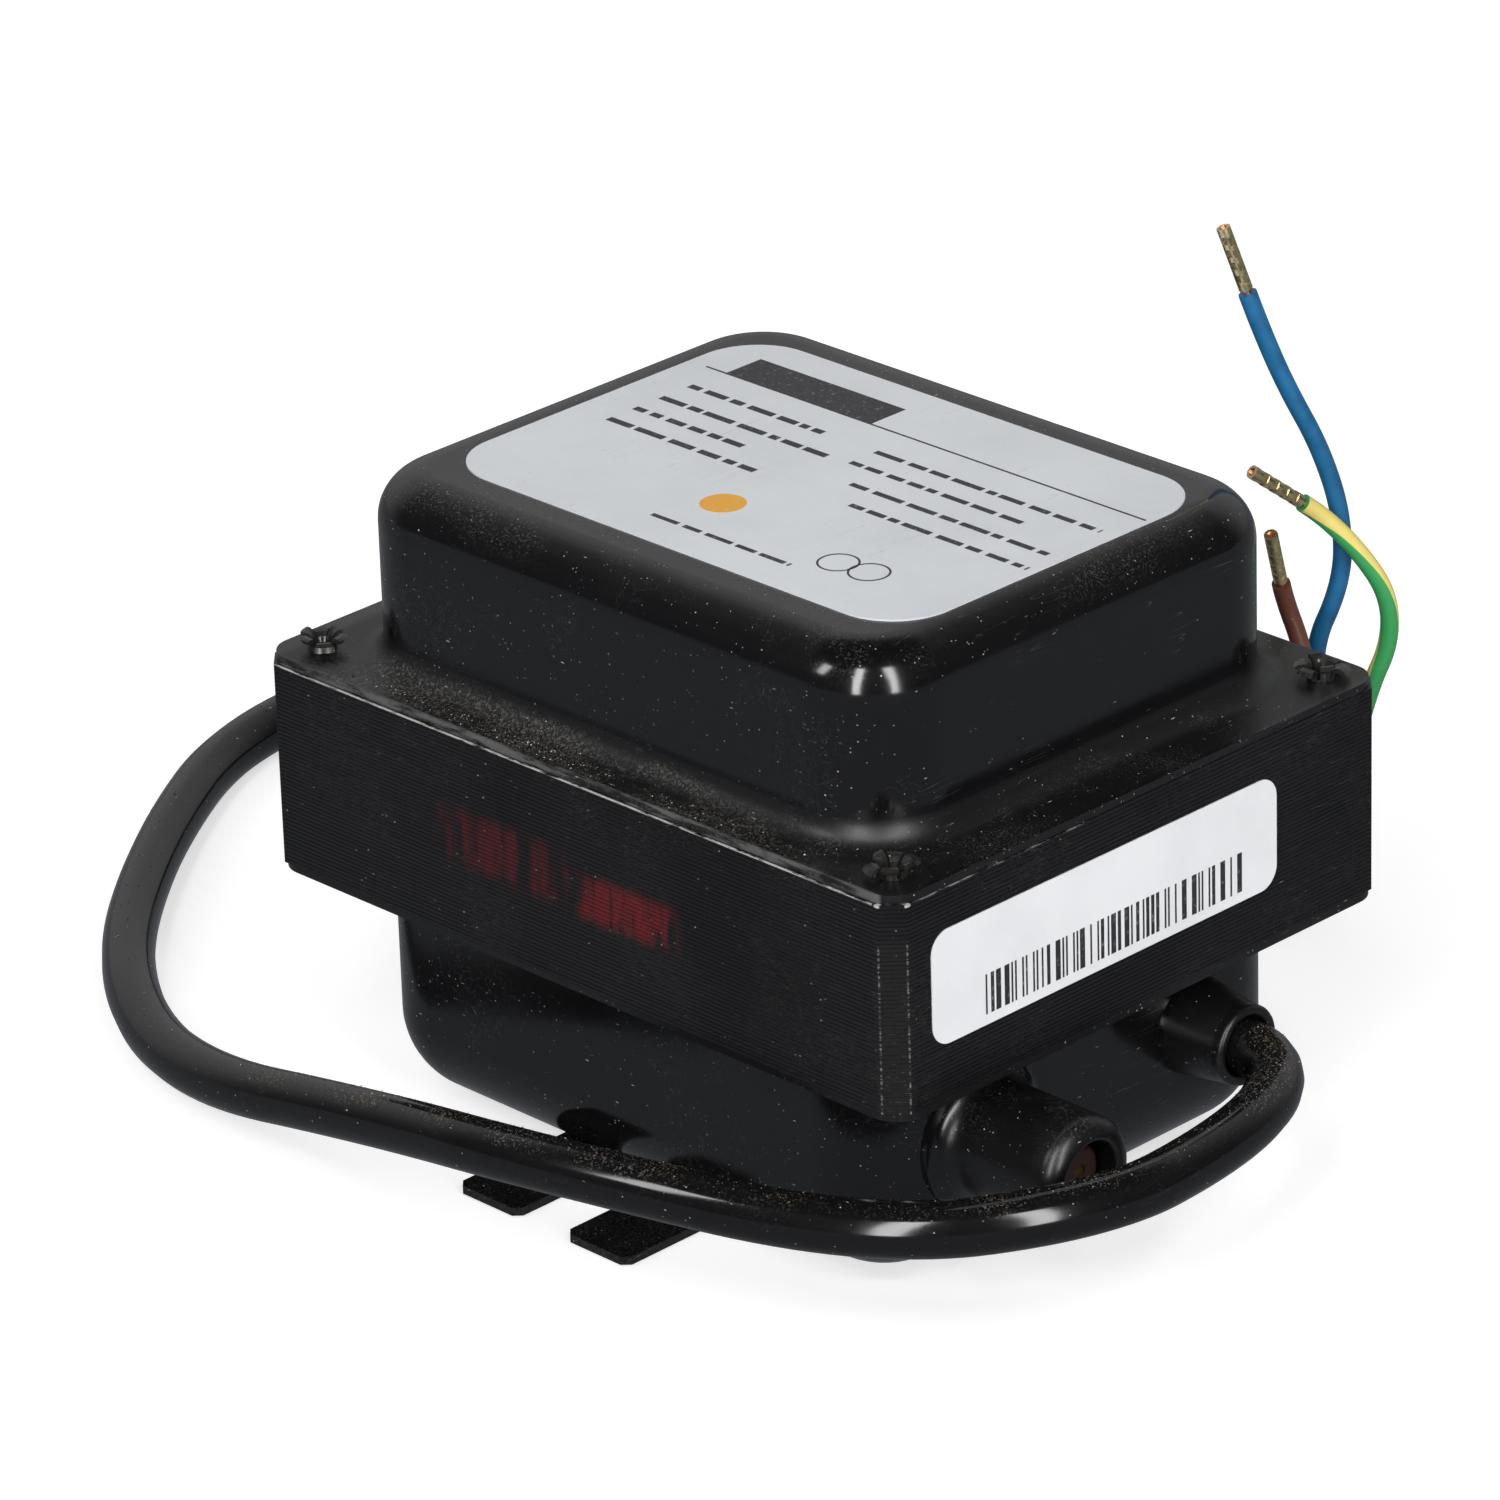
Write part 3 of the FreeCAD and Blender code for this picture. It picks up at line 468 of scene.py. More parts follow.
def black_paint():
    """Gloss paint, powdery along the long side's flange, worn bare on the flange's edge, where a
    painted highlight also runs.
    """
    net, base = shader("black_paint")
    place = net.place()
    powder = powder_mask(net, place)
    torn_and_highlight = torn_and_highlit_edge_mask(net, place)
    shade = tuple(bpy.context.scene.transformer_look.paint) + (1.0,)
    shade = net.blend(powder, shade, POWDER)
    # The flange's edge made paler: paint rubbed off, and a painted highlight along the edge
    shade = net.blend(net.times(torn_and_highlight, 0.7), shade, grey(0.1))
    rough = net.span(net.noise(place, 60.0, 4.0), 0.3, 0.7, 0.1, 0.2)
    rough = net.mix(region(net, *COVER_ROOT, 1.6), rough, 0.4)
    rough = net.mix(region(net, *NECKS, 0.8), rough, 0.34)
    rough = net.mix(net.most(powder, torn_and_highlight), rough, 0.7)
    dirty(net, base, shade, rough, dust=0.4, specks=0.22, scratches=0.4)
    net.feed(base.inputs["Normal"], net.bump(net.noise(place, 420.0, 2.0), 0.04))
    base.inputs["IOR"].default_value = 1.55


def red_smear(net, place, height):
    """Mask of the broken red marks on the core's long side, caught on the sheets' edges."""
    smear = net.noise(net.stretch(place, (420.0, 420.0, 60.0), (0.0, 0.3, 0.0)), 1.0, 4.0, 0.7)
    stroke = net.span(net.noise(net.stretch(place, (260.0, 10.0, 60.0)), 1.0, 2.0), 0.4, 0.55)
    left = net.times(region(net, *SMEAR_LEFT, 1.8), 0.5, net.span(smear, 0.4, 0.62))
    right = net.times(region(net, *SMEAR_RIGHT, 1.6), stroke, net.span(smear, 0.36, 0.56))
    return net.times(net.most(left, right), net.mix(height, 0.35, 0.9))


def rubbed_and_highlit_rims(net, worn):
    """Mask of the core's rims: the lines along the top rims and the chamfer's edges are partly rubbed
    bare and partly a painted edge highlight; the tips are chips rubbed bare.
    """
    low, high, cut, top = CORE_LOW, CORE_HIGH, CORE_CHAMFER, CHAMFER_WEAR_AND_HIGHLIGHT_TOP
    long_rim = ((low.x + 1, low.y - 1, high.z - 0.14), (high.x - 3, low.y + 0.1, high.z + 1))
    end_rim = ((high.x - 0.1, low.y + cut, high.z - 0.1), (high.x + 1, low.y + 30, high.z + 1))
    left_cut = ((high.x - cut - 0.05, low.y - 1, low.z), (high.x - cut + 0.05, low.y + 0.1, top))
    right_cut = ((high.x - 0.1, low.y + cut - 0.05, low.z), (high.x + 1, low.y + cut + 0.05, top))
    left_tip = ((high.x - cut - 0.4, low.y - 1, high.z - 0.3),
                (high.x - cut + 0.1, low.y + 0.5, high.z + 1))
    right_tip = ((high.x - 0.5, low.y + cut - 0.1, high.z - 0.3),
                 (high.x + 1, low.y + cut + 0.5, high.z + 1))
    masks = []
    for box, feather, start, full, amount in (
            (long_rim, 0.08, 0.38, 0.54, 0.9), (end_rim, 0.1, 0.5, 0.62, 0.4),
            (left_cut, 0.08, 0.46, 0.6, 0.3), (right_cut, 0.08, 0.46, 0.6, 0.3),
            (left_tip, 0.1, 0.42, 0.5, 0.9), (right_tip, 0.1, 0.42, 0.5, 0.9)):
        masks.append(net.times(region(net, *box, feather), net.span(worn, start, full), amount))
    return net.most(*masks)


def core_lacquer():
    """Thin black lacquer over the sheet edges, rubbed bare where the edges catch, with a painted
    highlight along the rims and a painted reflection on the front chamfer.
    """
    net, base = shader("core_lacquer")
    place = net.place()
    height, tone = net.use(sheet_group())
    clear = net.span(net.noise(place, 42.0, 2.0), 0.35, 0.62, 0.35, 1.0)
    line = net.times(net.mix(tone, 0.55, 1.0), height, clear)
    shade = net.blend(line, grey(0.0028, 1.1), grey(0.0075, 1.14))
    # Painted reflection: the front chamfer made lighter, more so on the sheets' middles
    chamfer_reflection = net.times(region(net, *FRONT_CHAMFER, 1.0), net.mix(height, 0.5, 1.0))
    shade = net.blend(chamfer_reflection, shade, grey(0.009))
    shade = net.blend(red_smear(net, place, height), shade, RED_SMEAR)
    worn = net.noise(net.stretch(place, (260.0, 260.0, 2500.0)), 1.0, 4.0, 0.75)
    bare = rubbed_and_highlit_rims(net, worn)
    # Pale rims: rubbed-bare steel, and a painted edge highlight along the rim and chamfer lines
    shade = net.blend(bare, shade, BARE_AND_HIGHLIGHT)
    chip = net.times(region(net, *CORNER_CHIP, 0.3), net.span(worn, 0.4, 0.5))
    shade = net.blend(chip, shade, RUST)
    rough = net.mix(bare, net.mix(height, 0.3, 0.2), 0.35)
    dirty(net, base, shade, rough, dust=0.5, specks=0.06, scratches=0.2)
    net.feed(base.inputs["Normal"], net.bump(height, 0.12, 0.05 * MM))
    base.inputs["IOR"].default_value = 1.42


def plain(name, colour, rough, metal=0.0, dust=0.3, specks=0.02, grain=300.0, depth=0.08,
          scratches=0.0, spread=0.2):
    """Everyday finish: slight colour drift, grain and dirt."""
    net, base = shader(name)
    drift = net.noise(net.place(), grain, 4.0)
    dark = tuple(c * (1 - spread) for c in colour) + (1.0,)
    light = tuple(min(1.0, c * (1 + 0.7 * spread)) for c in colour) + (1.0,)
    shade = net.blend(net.span(drift, 0.3, 0.7), dark, light)
    gloss = net.span(drift, 0.3, 0.7, rough * 0.85, min(1.0, rough * 1.2))
    dirty(net, base, shade, gloss, dust, specks, scratches)
    base.inputs["Metallic"].default_value = metal
    net.feed(base.inputs["Normal"], net.bump(drift, depth))


def label_foil():
    """Pale foil with faint clouds and rubbed marks."""
    net, base = shader("label_foil")
    place = net.place()
    grain = net.noise(place, 900.0, 3.0)
    foil = Vector(bpy.context.scene.transformer_look.label)
    shade = net.blend(net.span(net.noise(place, 45.0, 4.0, 0.6), 0.3, 0.7),
                      tuple(foil * 0.95) + (1.0,), tuple(foil * 1.05) + (1.0,))
    dirty(net, base, shade, net.span(grain, 0.3, 0.7, 0.4, 0.52), dust=0.05, specks=0.02,
          scratches=0.3)
    net.feed(base.inputs["Normal"], net.bump(grain, 0.04))


def green_yellow():
    """Yellow insulation with one green stripe that drifts slowly round the wire."""
    net, base = shader("green_yellow_pvc")
    place = net.place()
    face = net.split(net.add("ShaderNodeNewGeometry").outputs["Normal"])
    turn = net.math("ARCTAN2", face[1], face[0])
    drift = net.math("MULTIPLY", net.split(place)[2], STRIPE_TWIST)
    angle = net.math("SUBTRACT", net.math("ADD", turn, drift), STRIPE_START)
    stripe = net.span(net.math("COSINE", angle), 0.3, 0.4)
    grain = net.noise(place, 500.0, 4.0)
    yellow = net.blend(grain, (0.66, 0.52, 0.12, 1.0), (0.76, 0.64, 0.2, 1.0))
    shade = net.blend(stripe, yellow, (0.035, 0.3, 0.085, 1.0))
    dirty(net, base, shade, 0.36, dust=0.15, specks=0.03)
    net.feed(base.inputs["Normal"], net.bump(grain, 0.05))


def sheath():
    """Black lead sheath with pale and golden dust on its top."""
    net, base = shader("lead_sheath")
    place = net.place()
    rough = net.span(net.noise(place, 55.0, 4.0, 0.6), 0.3, 0.7, 0.09, 0.16)
    up = net.span(net.split(net.add("ShaderNodeNewGeometry").outputs["Normal"])[2], 0.55, 0.95)
    near = region(net, *LEAD_FRONT, 8.0)
    patch = net.span(net.noise(place, 85.0, 4.0, 0.6), 0.42, 0.62, 0.12, 1.0)
    fine = net.span(net.noise(place, 3000.0, 2.0, 0.8), 0.56, 0.62)
    powder = net.times(up, near, patch, fine, 0.6)
    gold = net.span(net.noise(place, 160.0, 2.0), 0.45, 0.6)
    tint = net.blend(gold, (0.17, 0.16, 0.14, 1.0), (0.22, 0.17, 0.09, 1.0))
    shade = net.blend(powder, (0.0042, 0.0042, 0.0047, 1.0), tint)
    dirty(net, base, shade, net.mix(powder, rough, 0.8), dust=0.1, specks=0.12, scratches=0.2)
    net.feed(base.inputs["Normal"], net.bump(net.noise(place, 500.0, 2.0), 0.02))


def filings():
    """Loose grains, each with its own tone, most of them dark."""
    net, base = shader("filings")
    pick = net.add("ShaderNodeNewGeometry").outputs["Random Per Island"]
    ramp = net.add("ShaderNodeValToRGB", {0: pick})
    stops = ramp.color_ramp.elements
    stops[0].position, stops[0].color = 0.0, (0.008, 0.007, 0.006, 1.0)
    stops[1].position, stops[1].color = 1.0, (0.6, 0.56, 0.48, 1.0)
    for position, colour in ((0.35, (0.02, 0.017, 0.014, 1.0)), (0.65, (0.05, 0.044, 0.036, 1.0)),
                             (0.88, (0.24, 0.215, 0.18, 1.0))):
        stops.new(position).color = colour
    net.feed(base.inputs["Base Color"], ramp.outputs[0])
    net.feed(base.inputs["Roughness"], net.span(pick, 0.0, 1.0, 0.9, 0.45))


def label_ink(name, colour):
    """Print, thin in places."""
    net, base = shader(name)
    worn = net.noise(net.place(), 1600.0, 3.0)
    pale = tuple(0.8 * c + 0.14 for c in colour) + (1.0,)
    shade = net.blend(net.span(worn, 0.55, 0.75), colour + (1.0,), pale)
    net.feed(base.inputs["Base Color"], shade)
    net.feed(base.inputs["Roughness"], net.span(worn, 0.3, 0.7, 0.35, 0.55))


# Pieces
def link(obj):
    bpy.context.scene.collection.objects.link(obj)
    return obj


def ridden(obj, slot_name, *replaced):
    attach(obj, "root")
    if replaced:
        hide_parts(*replaced)


def spline_path(lead):
    """Points along a lead's spline, read from a copy that has no thickness."""
    thin = lead.copy()
    thin.data = lead.data.copy()
    thin.data.bevel_depth = 0.0
    line = bpy.data.meshes.new_from_object(thin)
    path = [vertex.co.copy() for vertex in line.vertices]
    bpy.data.meshes.remove(line)
    bpy.data.curves.remove(thin.data)
    return path


def route_piece(name, points_mm, diameter, finish, resolution):
    """Round lead on its control points; returns it and the points read from its spline."""
    data = bpy.data.curves.new(name, "CURVE")
    data.dimensions = "3D"
    data.resolution_u = resolution
    spline = data.splines.new("NURBS")
    spline.points.add(len(points_mm) - 1)
    for point, at in zip(spline.points, points_mm):
        point.co = (at[0] * MM, at[1] * MM, at[2] * MM, 1.0)
    spline.order_u = 3
    spline.use_endpoint_u = True
    data.bevel_depth = diameter / 2
    data.bevel_resolution = 6
    data.use_fill_caps = True
    data.materials.append(finish)
    obj = link(bpy.data.objects.new(name, data))
    return obj, spline_path(obj)


def mesh_piece(name, verts, faces, finish):
    data = bpy.data.meshes.new(name)
    data.from_pydata(verts, [], faces)
    data.materials.append(finish)
    return link(bpy.data.objects.new(name, data))


def add_grain(verts, faces, at, size, flat=0.6):
    """Irregular eight-sided grain."""
    spin = (Matrix.Rotation(random.uniform(0, 2 * math.pi), 3, "Z")
            @ Matrix.Rotation(random.uniform(-0.6, 0.6), 3, "X"))
    start = len(verts)
    for axis in range(3):
        for sign in (-1, 1):
            arm = Vector((0.0, 0.0, 0.0))
            arm[axis] = sign * size * random.uniform(0.55, 1.25)
            arm.z *= flat
            verts.append(at + spin @ arm)
    for side in ((0, 2, 4), (2, 1, 4), (1, 3, 4), (3, 0, 4), (2, 0, 5), (1, 2, 5), (3, 1, 5),
                 (0, 3, 5)):
        faces.append(tuple(start + i for i in side))


def add_box(verts, faces, low, high):
    """Closed box between two corners in millimetres."""
    start = len(verts)
    for x in (low[0], high[0]):
        for y in (low[1], high[1]):
            for z in (low[2], high[2]):
                verts.append((x * MM, y * MM, z * MM))
    for side in ((0, 1, 3, 2), (4, 6, 7, 5), (0, 4, 5, 1), (2, 3, 7, 6), (0, 2, 6, 4),
                 (1, 5, 7, 3)):
        faces.append(tuple(start + i for i in side))


def add_disc(verts, faces, x, y, r, low, high, count=40):
    """Closed flat disc in millimetres."""
    start = len(verts)
    for z in (low, high):
        for i in range(count):
            a = 2 * math.pi * i / count
            verts.append(((x + r * math.cos(a)) * MM, (y + r * math.sin(a)) * MM, z * MM))
    faces.append(tuple(start + i for i in reversed(range(count))))
    faces.append(tuple(start + count + i for i in range(count)))
    for i in range(count):
        n = (i + 1) % count
        faces.append((start + i, start + n, start + count + n, start + count + i))


def add_ring(verts, faces, x, y, low, high, outer, inner, count=32):
    """Closed flat ring in millimetres."""
    start = len(verts)
    for i in range(count):
        a = 2 * math.pi * i / count
        for r, z in ((outer, low), (outer, high), (inner, high), (inner, low)):
            verts.append(((x + r * math.cos(a)) * MM, (y + r * math.sin(a)) * MM, z * MM))
    for i in range(count):
        here, there = start + 4 * i, start + 4 * ((i + 1) % count)
        for k in range(4):
            n = (k + 1) % 4
            faces.append((here + k, there + k, there + n, here + n))


class TRANSFORMER_OT_set_camera(bpy.types.Operator):
    """Sets the camera at the photograph's viewing angle"""

    bl_idname = "transformer.set_camera"
    bl_label = "Set the camera"

    def execute(self, context):
        right, up, back = camera_axes()
        data = bpy.data.cameras.new("camera")
        data.sensor_fit = "HORIZONTAL"
        data.sensor_width = 36.0
        data.lens = CAM_FOCAL / PHOTO_PX * data.sensor_width
        data.clip_start, data.clip_end = 0.05, 20.0
        place = back * CAM_DISTANCE - right * CAM_SHIFT[0] - up * CAM_SHIFT[1] + CORE_MIDDLE
        camera = link(bpy.data.objects.new("camera", data))
        camera.matrix_world = (Matrix.Translation(place * MM)
                               @ Matrix((right, up, back)).transposed().to_4x4())
        context.scene.camera = camera
        return {"FINISHED"}


class TRANSFORMER_OT_mix_finishes(bpy.types.Operator):
    """Makes one finish for each slot of the record"""

    bl_idname = "transformer.mix_finishes"
    bl_label = "Mix the finishes"

    def execute(self, context):
        for make in (black_paint, core_lacquer, label_foil, green_yellow, sheath, filings):
            make()
        label_ink("dark_ink", (0.02, 0.02, 0.024))
        label_ink("ochre_ink", (0.74, 0.36, 0.03))
        plain("rivet_black", (0.02, 0.019, 0.018), 0.22, dust=0.9, specks=0.14, grain=700.0,
              depth=0.1, scratches=0.5)
        plain("label_paper", (0.7, 0.71, 0.73), 0.55, dust=0.05, grain=120.0, depth=0.03,
              spread=0.03)
        plain("blue_pvc", (0.008, 0.11, 0.25), 0.34, dust=0.15)
        plain("brown_pvc", (0.135, 0.046, 0.028), 0.36, dust=0.25, specks=0.03)
        plain("ferrule_brass", (0.88, 0.74, 0.43), 0.3, metal=1.0, dust=0.1, specks=0.03,
              grain=1400.0, depth=0.06)
        plain("copper", (0.85, 0.4, 0.24), 0.32, metal=1.0, dust=0.1, grain=1400.0, depth=0.1)
        plain("sleeve_brown", (0.03, 0.011, 0.007), 0.45, dust=0.2)
        plain("contact_brass", (0.2, 0.12, 0.05), 0.5, metal=1.0, dust=0.2)
        plain("bush_black", (0.008, 0.008, 0.008), 0.6)
        plain("plain_steel", (0.5, 0.5, 0.5), 0.4, metal=1.0, dust=0.2)
        plain("lamination_steel", (0.3, 0.3, 0.31), 0.45, metal=1.0, dust=0.1)
        plain("bobbin_plastic", (0.08, 0.04, 0.02), 0.4)
        plain("winding_copper", (0.5, 0.2, 0.1), 0.4, metal=1.0, dust=0.0, specks=0.0,
              grain=900.0, depth=0.3)
        plain("wrap_cloth", (0.5, 0.4, 0.2), 0.7, dust=0.1, specks=0.0, grain=1200.0, depth=0.3)
        plain("pressboard", (0.45, 0.33, 0.18), 0.8, dust=0.1, specks=0.0, grain=700.0, depth=0.2)
        plain("potting_resin", (0.015, 0.012, 0.01), 0.3)
        return {"FINISHED"}


class TRANSFORMER_OT_lay_lead(bpy.types.Operator):
    """Lays the mains lead along its route"""

    bl_idname = "transformer.lay_lead"
    bl_label = "Lay the mains lead"

    def execute(self, context):
        size = context.scene.transformer_leads.lead
        obj, path = route_piece("mains_lead", LEAD_MM, size, FINISHES["lead_sheath"], 16)
        ridden(obj, "lead_sheath", "mains_cable")
        return {"FINISHED"}


class TRANSFORMER_OT_lay_wires(bpy.types.Operator):
    """Lays the three wires that leave the lead's end"""

    bl_idname = "transformer.lay_wires"
    bl_label = "Lay the wires"

    def execute(self, context):
        size = context.scene.transformer_leads.wire
        for name, points, finish, node, ferrule in WIRES:
            obj, path = route_piece(name, points, size, FINISHES[finish], 14)
            ridden(obj, finish, node)
        return {"FINISHED"}


class TRANSFORMER_OT_dress_body(bpy.types.Operator):
    """Gives every CAD piece the finish of its slot"""

    bl_idname = "transformer.dress_body"
    bl_label = "Dress the body"

    def execute(self, context):
        for part in frame["record"]["subparts"]:
            obj = NODES[part["node"]]
            obj.data.materials.clear()
            obj.data.materials.append(FINISHES[part["material_slot"]])
        return {"FINISHED"}


class TRANSFORMER_OT_scatter_filings(bpy.types.Operator):
    """Scatters grains on the flange and the lead"""

    bl_idname = "transformer.scatter_filings"
    bl_label = "Scatter the filings"

    def flange(self, settings):
        verts, faces = [], []
        for _ in range(settings.flange_grains):
            out = min(GRAIN_REACH, 0.6 + abs(random.gauss(0.0, 1.9)))
            if random.random() < LONG_SIDE_SHARE:
                x, y = random.triangular(*LONG_SIDE_X), -WALL_Y - out
                bare = noise.noise(Vector((x * 0.13, y * 0.3, 0.0))) < random.uniform(-0.5, 0.3)
            else:
                x, y = WALL_X + min(6.8, out * 1.5), random.uniform(*END_SIDE_Y)
                bare = noise.noise(Vector((x * 0.4, y * 0.2, 4.0))) < random.uniform(0.0, 0.35)
            if bare:
                continue
            lift = max(0.0, 1.3 - out) ** 2 * 0.8
            at = Vector((x, y, FLANGE_TOP + lift)) * MM
            add_grain(verts, faces, at, settings.grain * random.lognormvariate(-0.15, 0.45))
        return verts, faces

    def lead(self, settings, radius):
        verts, faces = [], []
        path = spline_path(bpy.data.objects["mains_lead"])
        while path[0].x < (LEAD_EXIT[0] + 1.0) * MM:
            path.pop(0)
        steps = range(len(path) - LEAD_CLEAN_STEPS)
        share = [1.0 if path[i].x > LEAD_DUSTY_FROM * MM else LEAD_THIN_SHARE for i in steps]
        for i in random.choices(steps, share, k=settings.lead_grains):
            at = path[i].lerp(path[i + 1], random.random())
            heading = (path[i + 1] - path[i]).normalized()
            side = heading.cross(Vector((0, 0, 1))).normalized()
            a = random.gauss(0.0, 0.42)
            ray = side.cross(heading) * math.cos(a) + side * math.sin(a)
            add_grain(verts, faces, at + ray * (radius + 0.01 * MM),
                      settings.grain * LEAD_GRAIN * random.lognormvariate(-0.1, 0.45), 0.5)
        return verts, faces

    def execute(self, context):
        settings = context.scene.transformer_filings
        random.seed(settings.seed)
        obj = mesh_piece("flange_filings", *self.flange(settings), FINISHES["filings"])
        ridden(obj, "rivet_black")
        radius = context.scene.transformer_leads.lead / 2
        obj = mesh_piece("lead_filings", *self.lead(settings, radius), FINISHES["filings"])
        ridden(obj, "lead_sheath")
        return {"FINISHED"}


class TRANSFORMER_OT_print_labels(bpy.types.Operator):
    """Prints plain bars, lines and rings on the labels"""

    bl_idname = "transformer.print_labels"
    bl_label = "Print the labels"

    def execute(self, context):
        random.seed(PRINT_SEED)
        verts, faces = [], []
        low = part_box("rating_label")[1].z / MM
        high = low + INK_THICK
        for x0, x1, y0, y1 in TOP_BARS:
            add_box(verts, faces, (x0, y0, low), (x1, y1, high))
        for x0, x1, y, tall in TOP_LINES:
            x = x0
            while x < x1:
                wide = min(random.uniform(*LINE_DASH), x1 - x)
                add_box(verts, faces, (x, y - tall / 4, low), (x + wide, y + tall / 4, high))
                x += wide + random.uniform(*LINE_GAP)
        for x, y in TOP_RINGS:
            add_ring(verts, faces, x, y, low, high, RING_OUTER, RING_INNER)
        ridden(mesh_piece("label_print", verts, faces, FINISHES["dark_ink"]), "label_foil")

        verts, faces = [], []
        add_disc(verts, faces, *TOP_SPOT, low, high)
        ridden(mesh_piece("label_spot", verts, faces, FINISHES["ochre_ink"]), "label_foil")

        verts, faces = [], []
        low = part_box("side_label")[1].x / MM
        y, y_end, z0, z1 = SIDE_BARS
        while y < y_end:
            wide = random.choice(BAR_WIDTHS)
            add_box(verts, faces, (low, y, z0), (low + INK_THICK, y + wide, z1))
            y += wide + random.choice(BAR_GAPS)
        ridden(mesh_piece("side_label_print", verts, faces, FINISHES["dark_ink"]), "label_paper")
        return {"FINISHED"}


# Stage
def camera_axes():
    a, e, r = (math.radians(v) for v in (CAM_AZIMUTH, CAM_ELEVATION, CAM_ROLL))
    back = Vector((math.sin(a) * math.cos(e), -math.cos(a) * math.cos(e), math.sin(e)))
    right = Vector((math.cos(a), math.sin(a), 0.0))
    up = back.cross(right)
    turned_right = right * math.cos(r) + up * math.sin(r)
    turned_up = up * math.cos(r) - right * math.sin(r)
    return turned_right, turned_up, back


def soft_box(name, turn, lift, size, power):
    """Area light turned from the camera's side and lifted, in degrees, facing the object."""
    a, e = math.radians(CAM_AZIMUTH + turn), math.radians(lift)
    out = Vector((math.sin(a) * math.cos(e), -math.cos(a) * math.cos(e), math.sin(e)))
    data = bpy.data.lights.new(name, "AREA")
    data.shape = "RECTANGLE"
    data.size, data.size_y = size
    data.energy = power
    obj = link(bpy.data.objects.new(name, data))
    obj.location = out * LIGHT_REACH + LIGHT_AIM
    obj.rotation_mode = "QUATERNION"
    obj.rotation_quaternion = out.to_track_quat("Z", "Y")


def studio_world(ambient):
    """Plain light, a white backdrop for the camera, and a soft room for reflections."""
    world = bpy.data.worlds.new("surroundings")
    world.use_nodes = True
    world.node_tree.nodes.clear()
    net = Net(world.node_tree)
    ray = net.add("ShaderNodeLightPath").outputs
    around = net.split(net.add("ShaderNodeTexCoord").outputs["Generated"])
    room = net.add("ShaderNodeValToRGB", {0: net.math("ADD", net.times(around[2], 0.5), 0.5)})
    stops = room.color_ramp.elements
    stops[0].position, stops[0].color = 0.0, grey(ROOM_DOWN)
    stops[1].position, stops[1].color = 1.0, grey(ROOM_UP)
    for position, value in ROOM_SIDES:
        stops.new(position).color = grey(value, 1.03)
    a = math.radians(CAM_AZIMUTH)
    behind = net.math("ADD", net.times(around[0], -math.sin(a)), net.times(around[1], math.cos(a)))
    side = net.span(behind, 0.1, 0.7, ROOM_NEAR, 1.0)
    lit = net.add("ShaderNodeBackground", {"Color": grey(1.0), "Strength": ambient})
    shine = net.add("ShaderNodeBackground", {"Color": room.outputs[0], "Strength": side})
    white = net.add("ShaderNodeBackground", {"Color": grey(1.0), "Strength": 1.0})
    first = net.add("ShaderNodeMixShader", {0: ray["Is Glossy Ray"], 1: lit.outputs[0],
                                            2: shine.outputs[0]})
    seen = net.most(ray["Is Camera Ray"], ray["Is Transmission Ray"])
    last = net.add("ShaderNodeMixShader", {0: seen, 1: first.outputs[0], 2: white.outputs[0]})
    net.add("ShaderNodeOutputWorld", {0: last.outputs[0]})
    return world


def floor_finish():
    """White to the camera with the object's shadow, dim in reflections."""
    made = bpy.data.materials.new("finish_floor")
    made.use_nodes = True
    made.node_tree.nodes.clear()
    net = Net(made.node_tree)
    ray = net.add("ShaderNodeLightPath").outputs
    matt = net.add("ShaderNodeBsdfDiffuse", {"Color": grey(0.62)})
    glow = net.add("ShaderNodeEmission", {"Color": grey(1.0), "Strength": 0.62})
    both = net.add("ShaderNodeAddShader", {0: matt.outputs[0], 1: glow.outputs[0]})
    dim = net.add("ShaderNodeEmission", {"Color": (0.94, 0.98, 1.06, 1.0), "Strength": FLOOR_SHINE})
    first = net.add("ShaderNodeMixShader", {0: ray["Is Glossy Ray"], 1: matt.outputs[0],
                                            2: dim.outputs[0]})
    seen = net.most(ray["Is Camera Ray"], ray["Is Transmission Ray"])
    last = net.add("ShaderNodeMixShader", {0: seen, 1: first.outputs[0], 2: both.outputs[0]})
    net.add("ShaderNodeOutputMaterial", {0: last.outputs[0]})
    return made


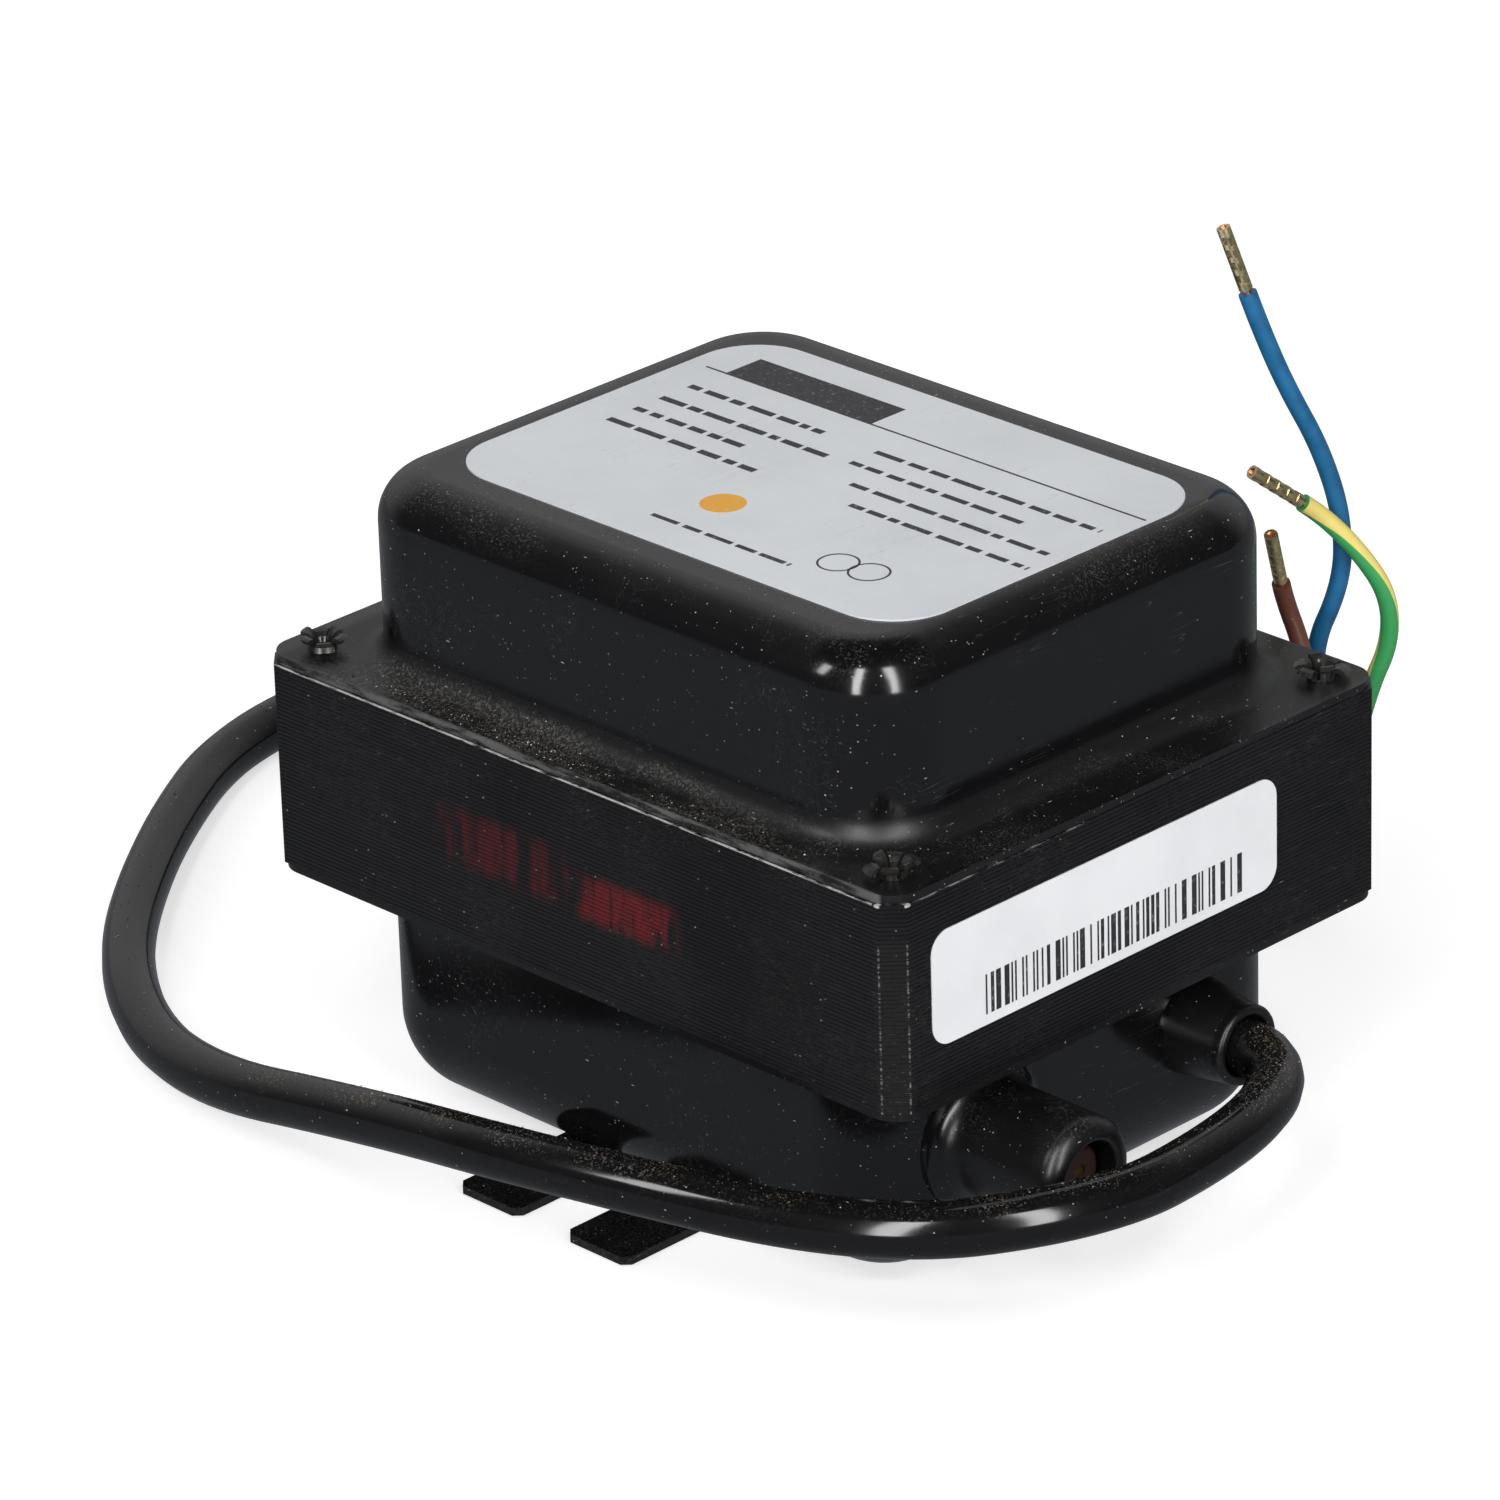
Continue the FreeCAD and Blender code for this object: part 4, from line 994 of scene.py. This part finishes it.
class TRANSFORMER_OT_build_stage(bpy.types.Operator):
    """Sets up the lights, floor and surroundings"""

    bl_idname = "transformer.build_stage"
    bl_label = "Build the stage"

    def execute(self, context):
        settings = context.scene.transformer_stage
        soft_box("front_left", *FRONT_LEFT, settings.key_power)
        soft_box("front_right", *FRONT_RIGHT, settings.key_power)
        soft_box("left", *LEFT, settings.side_power)
        context.scene.world = studio_world(settings.ambient)
        corners = [(x * FLOOR_HALF, y * FLOOR_HALF, 0)
                   for x, y in ((-1, -1), (1, -1), (1, 1), (-1, 1))]
        floor = mesh_piece("floor", corners, [(0, 1, 2, 3)], floor_finish())
        floor.location.z = -FLOOR_DROP * MM
        context.scene.view_settings.view_transform = "Standard"
        return {"FINISHED"}


OPERATORS = (
    TRANSFORMER_OT_set_camera,
    TRANSFORMER_OT_mix_finishes,
    TRANSFORMER_OT_lay_lead,
    TRANSFORMER_OT_lay_wires,
    TRANSFORMER_OT_dress_body,
    TRANSFORMER_OT_scatter_filings,
    TRANSFORMER_OT_print_labels,
    TRANSFORMER_OT_build_stage,
)


class TRANSFORMER_PT_sidebar(bpy.types.Panel):
    """Lists the settings and the steps"""

    bl_idname = "TRANSFORMER_PT_sidebar"
    bl_label = "Ignition transformer"
    bl_space_type = "VIEW_3D"
    bl_region_type = "UI"
    bl_category = "Transformer"

    def draw(self, context):
        scene = context.scene
        for group in (scene.transformer_look, scene.transformer_leads,
                      scene.transformer_filings, scene.transformer_stage):
            box = self.layout.box()
            for key in group.__annotations__:
                box.prop(group, key)
        for step in OPERATORS:
            self.layout.operator(step.bl_idname)


GROUPS = {
    "transformer_look": LookSettings,
    "transformer_leads": LeadSettings,
    "transformer_filings": FilingSettings,
    "transformer_stage": StageSettings,
}
CLASSES = tuple(GROUPS.values()) + OPERATORS + (TRANSFORMER_PT_sidebar,)


def register():
    for cls in CLASSES:
        bpy.utils.register_class(cls)
    for name, group in GROUPS.items():
        setattr(bpy.types.Scene, name, PointerProperty(type=group))


def unregister():
    for name in GROUPS:
        delattr(bpy.types.Scene, name)
    for cls in reversed(CLASSES):
        bpy.utils.unregister_class(cls)


def main():
    register()
    bpy.ops.transformer.set_camera()
    bpy.ops.transformer.mix_finishes()
    bpy.ops.transformer.lay_lead()
    bpy.ops.transformer.lay_wires()
    bpy.ops.transformer.dress_body()
    bpy.ops.transformer.scatter_filings()
    bpy.ops.transformer.print_labels()
    bpy.ops.transformer.build_stage()


if __name__ == "__main__":
    main()
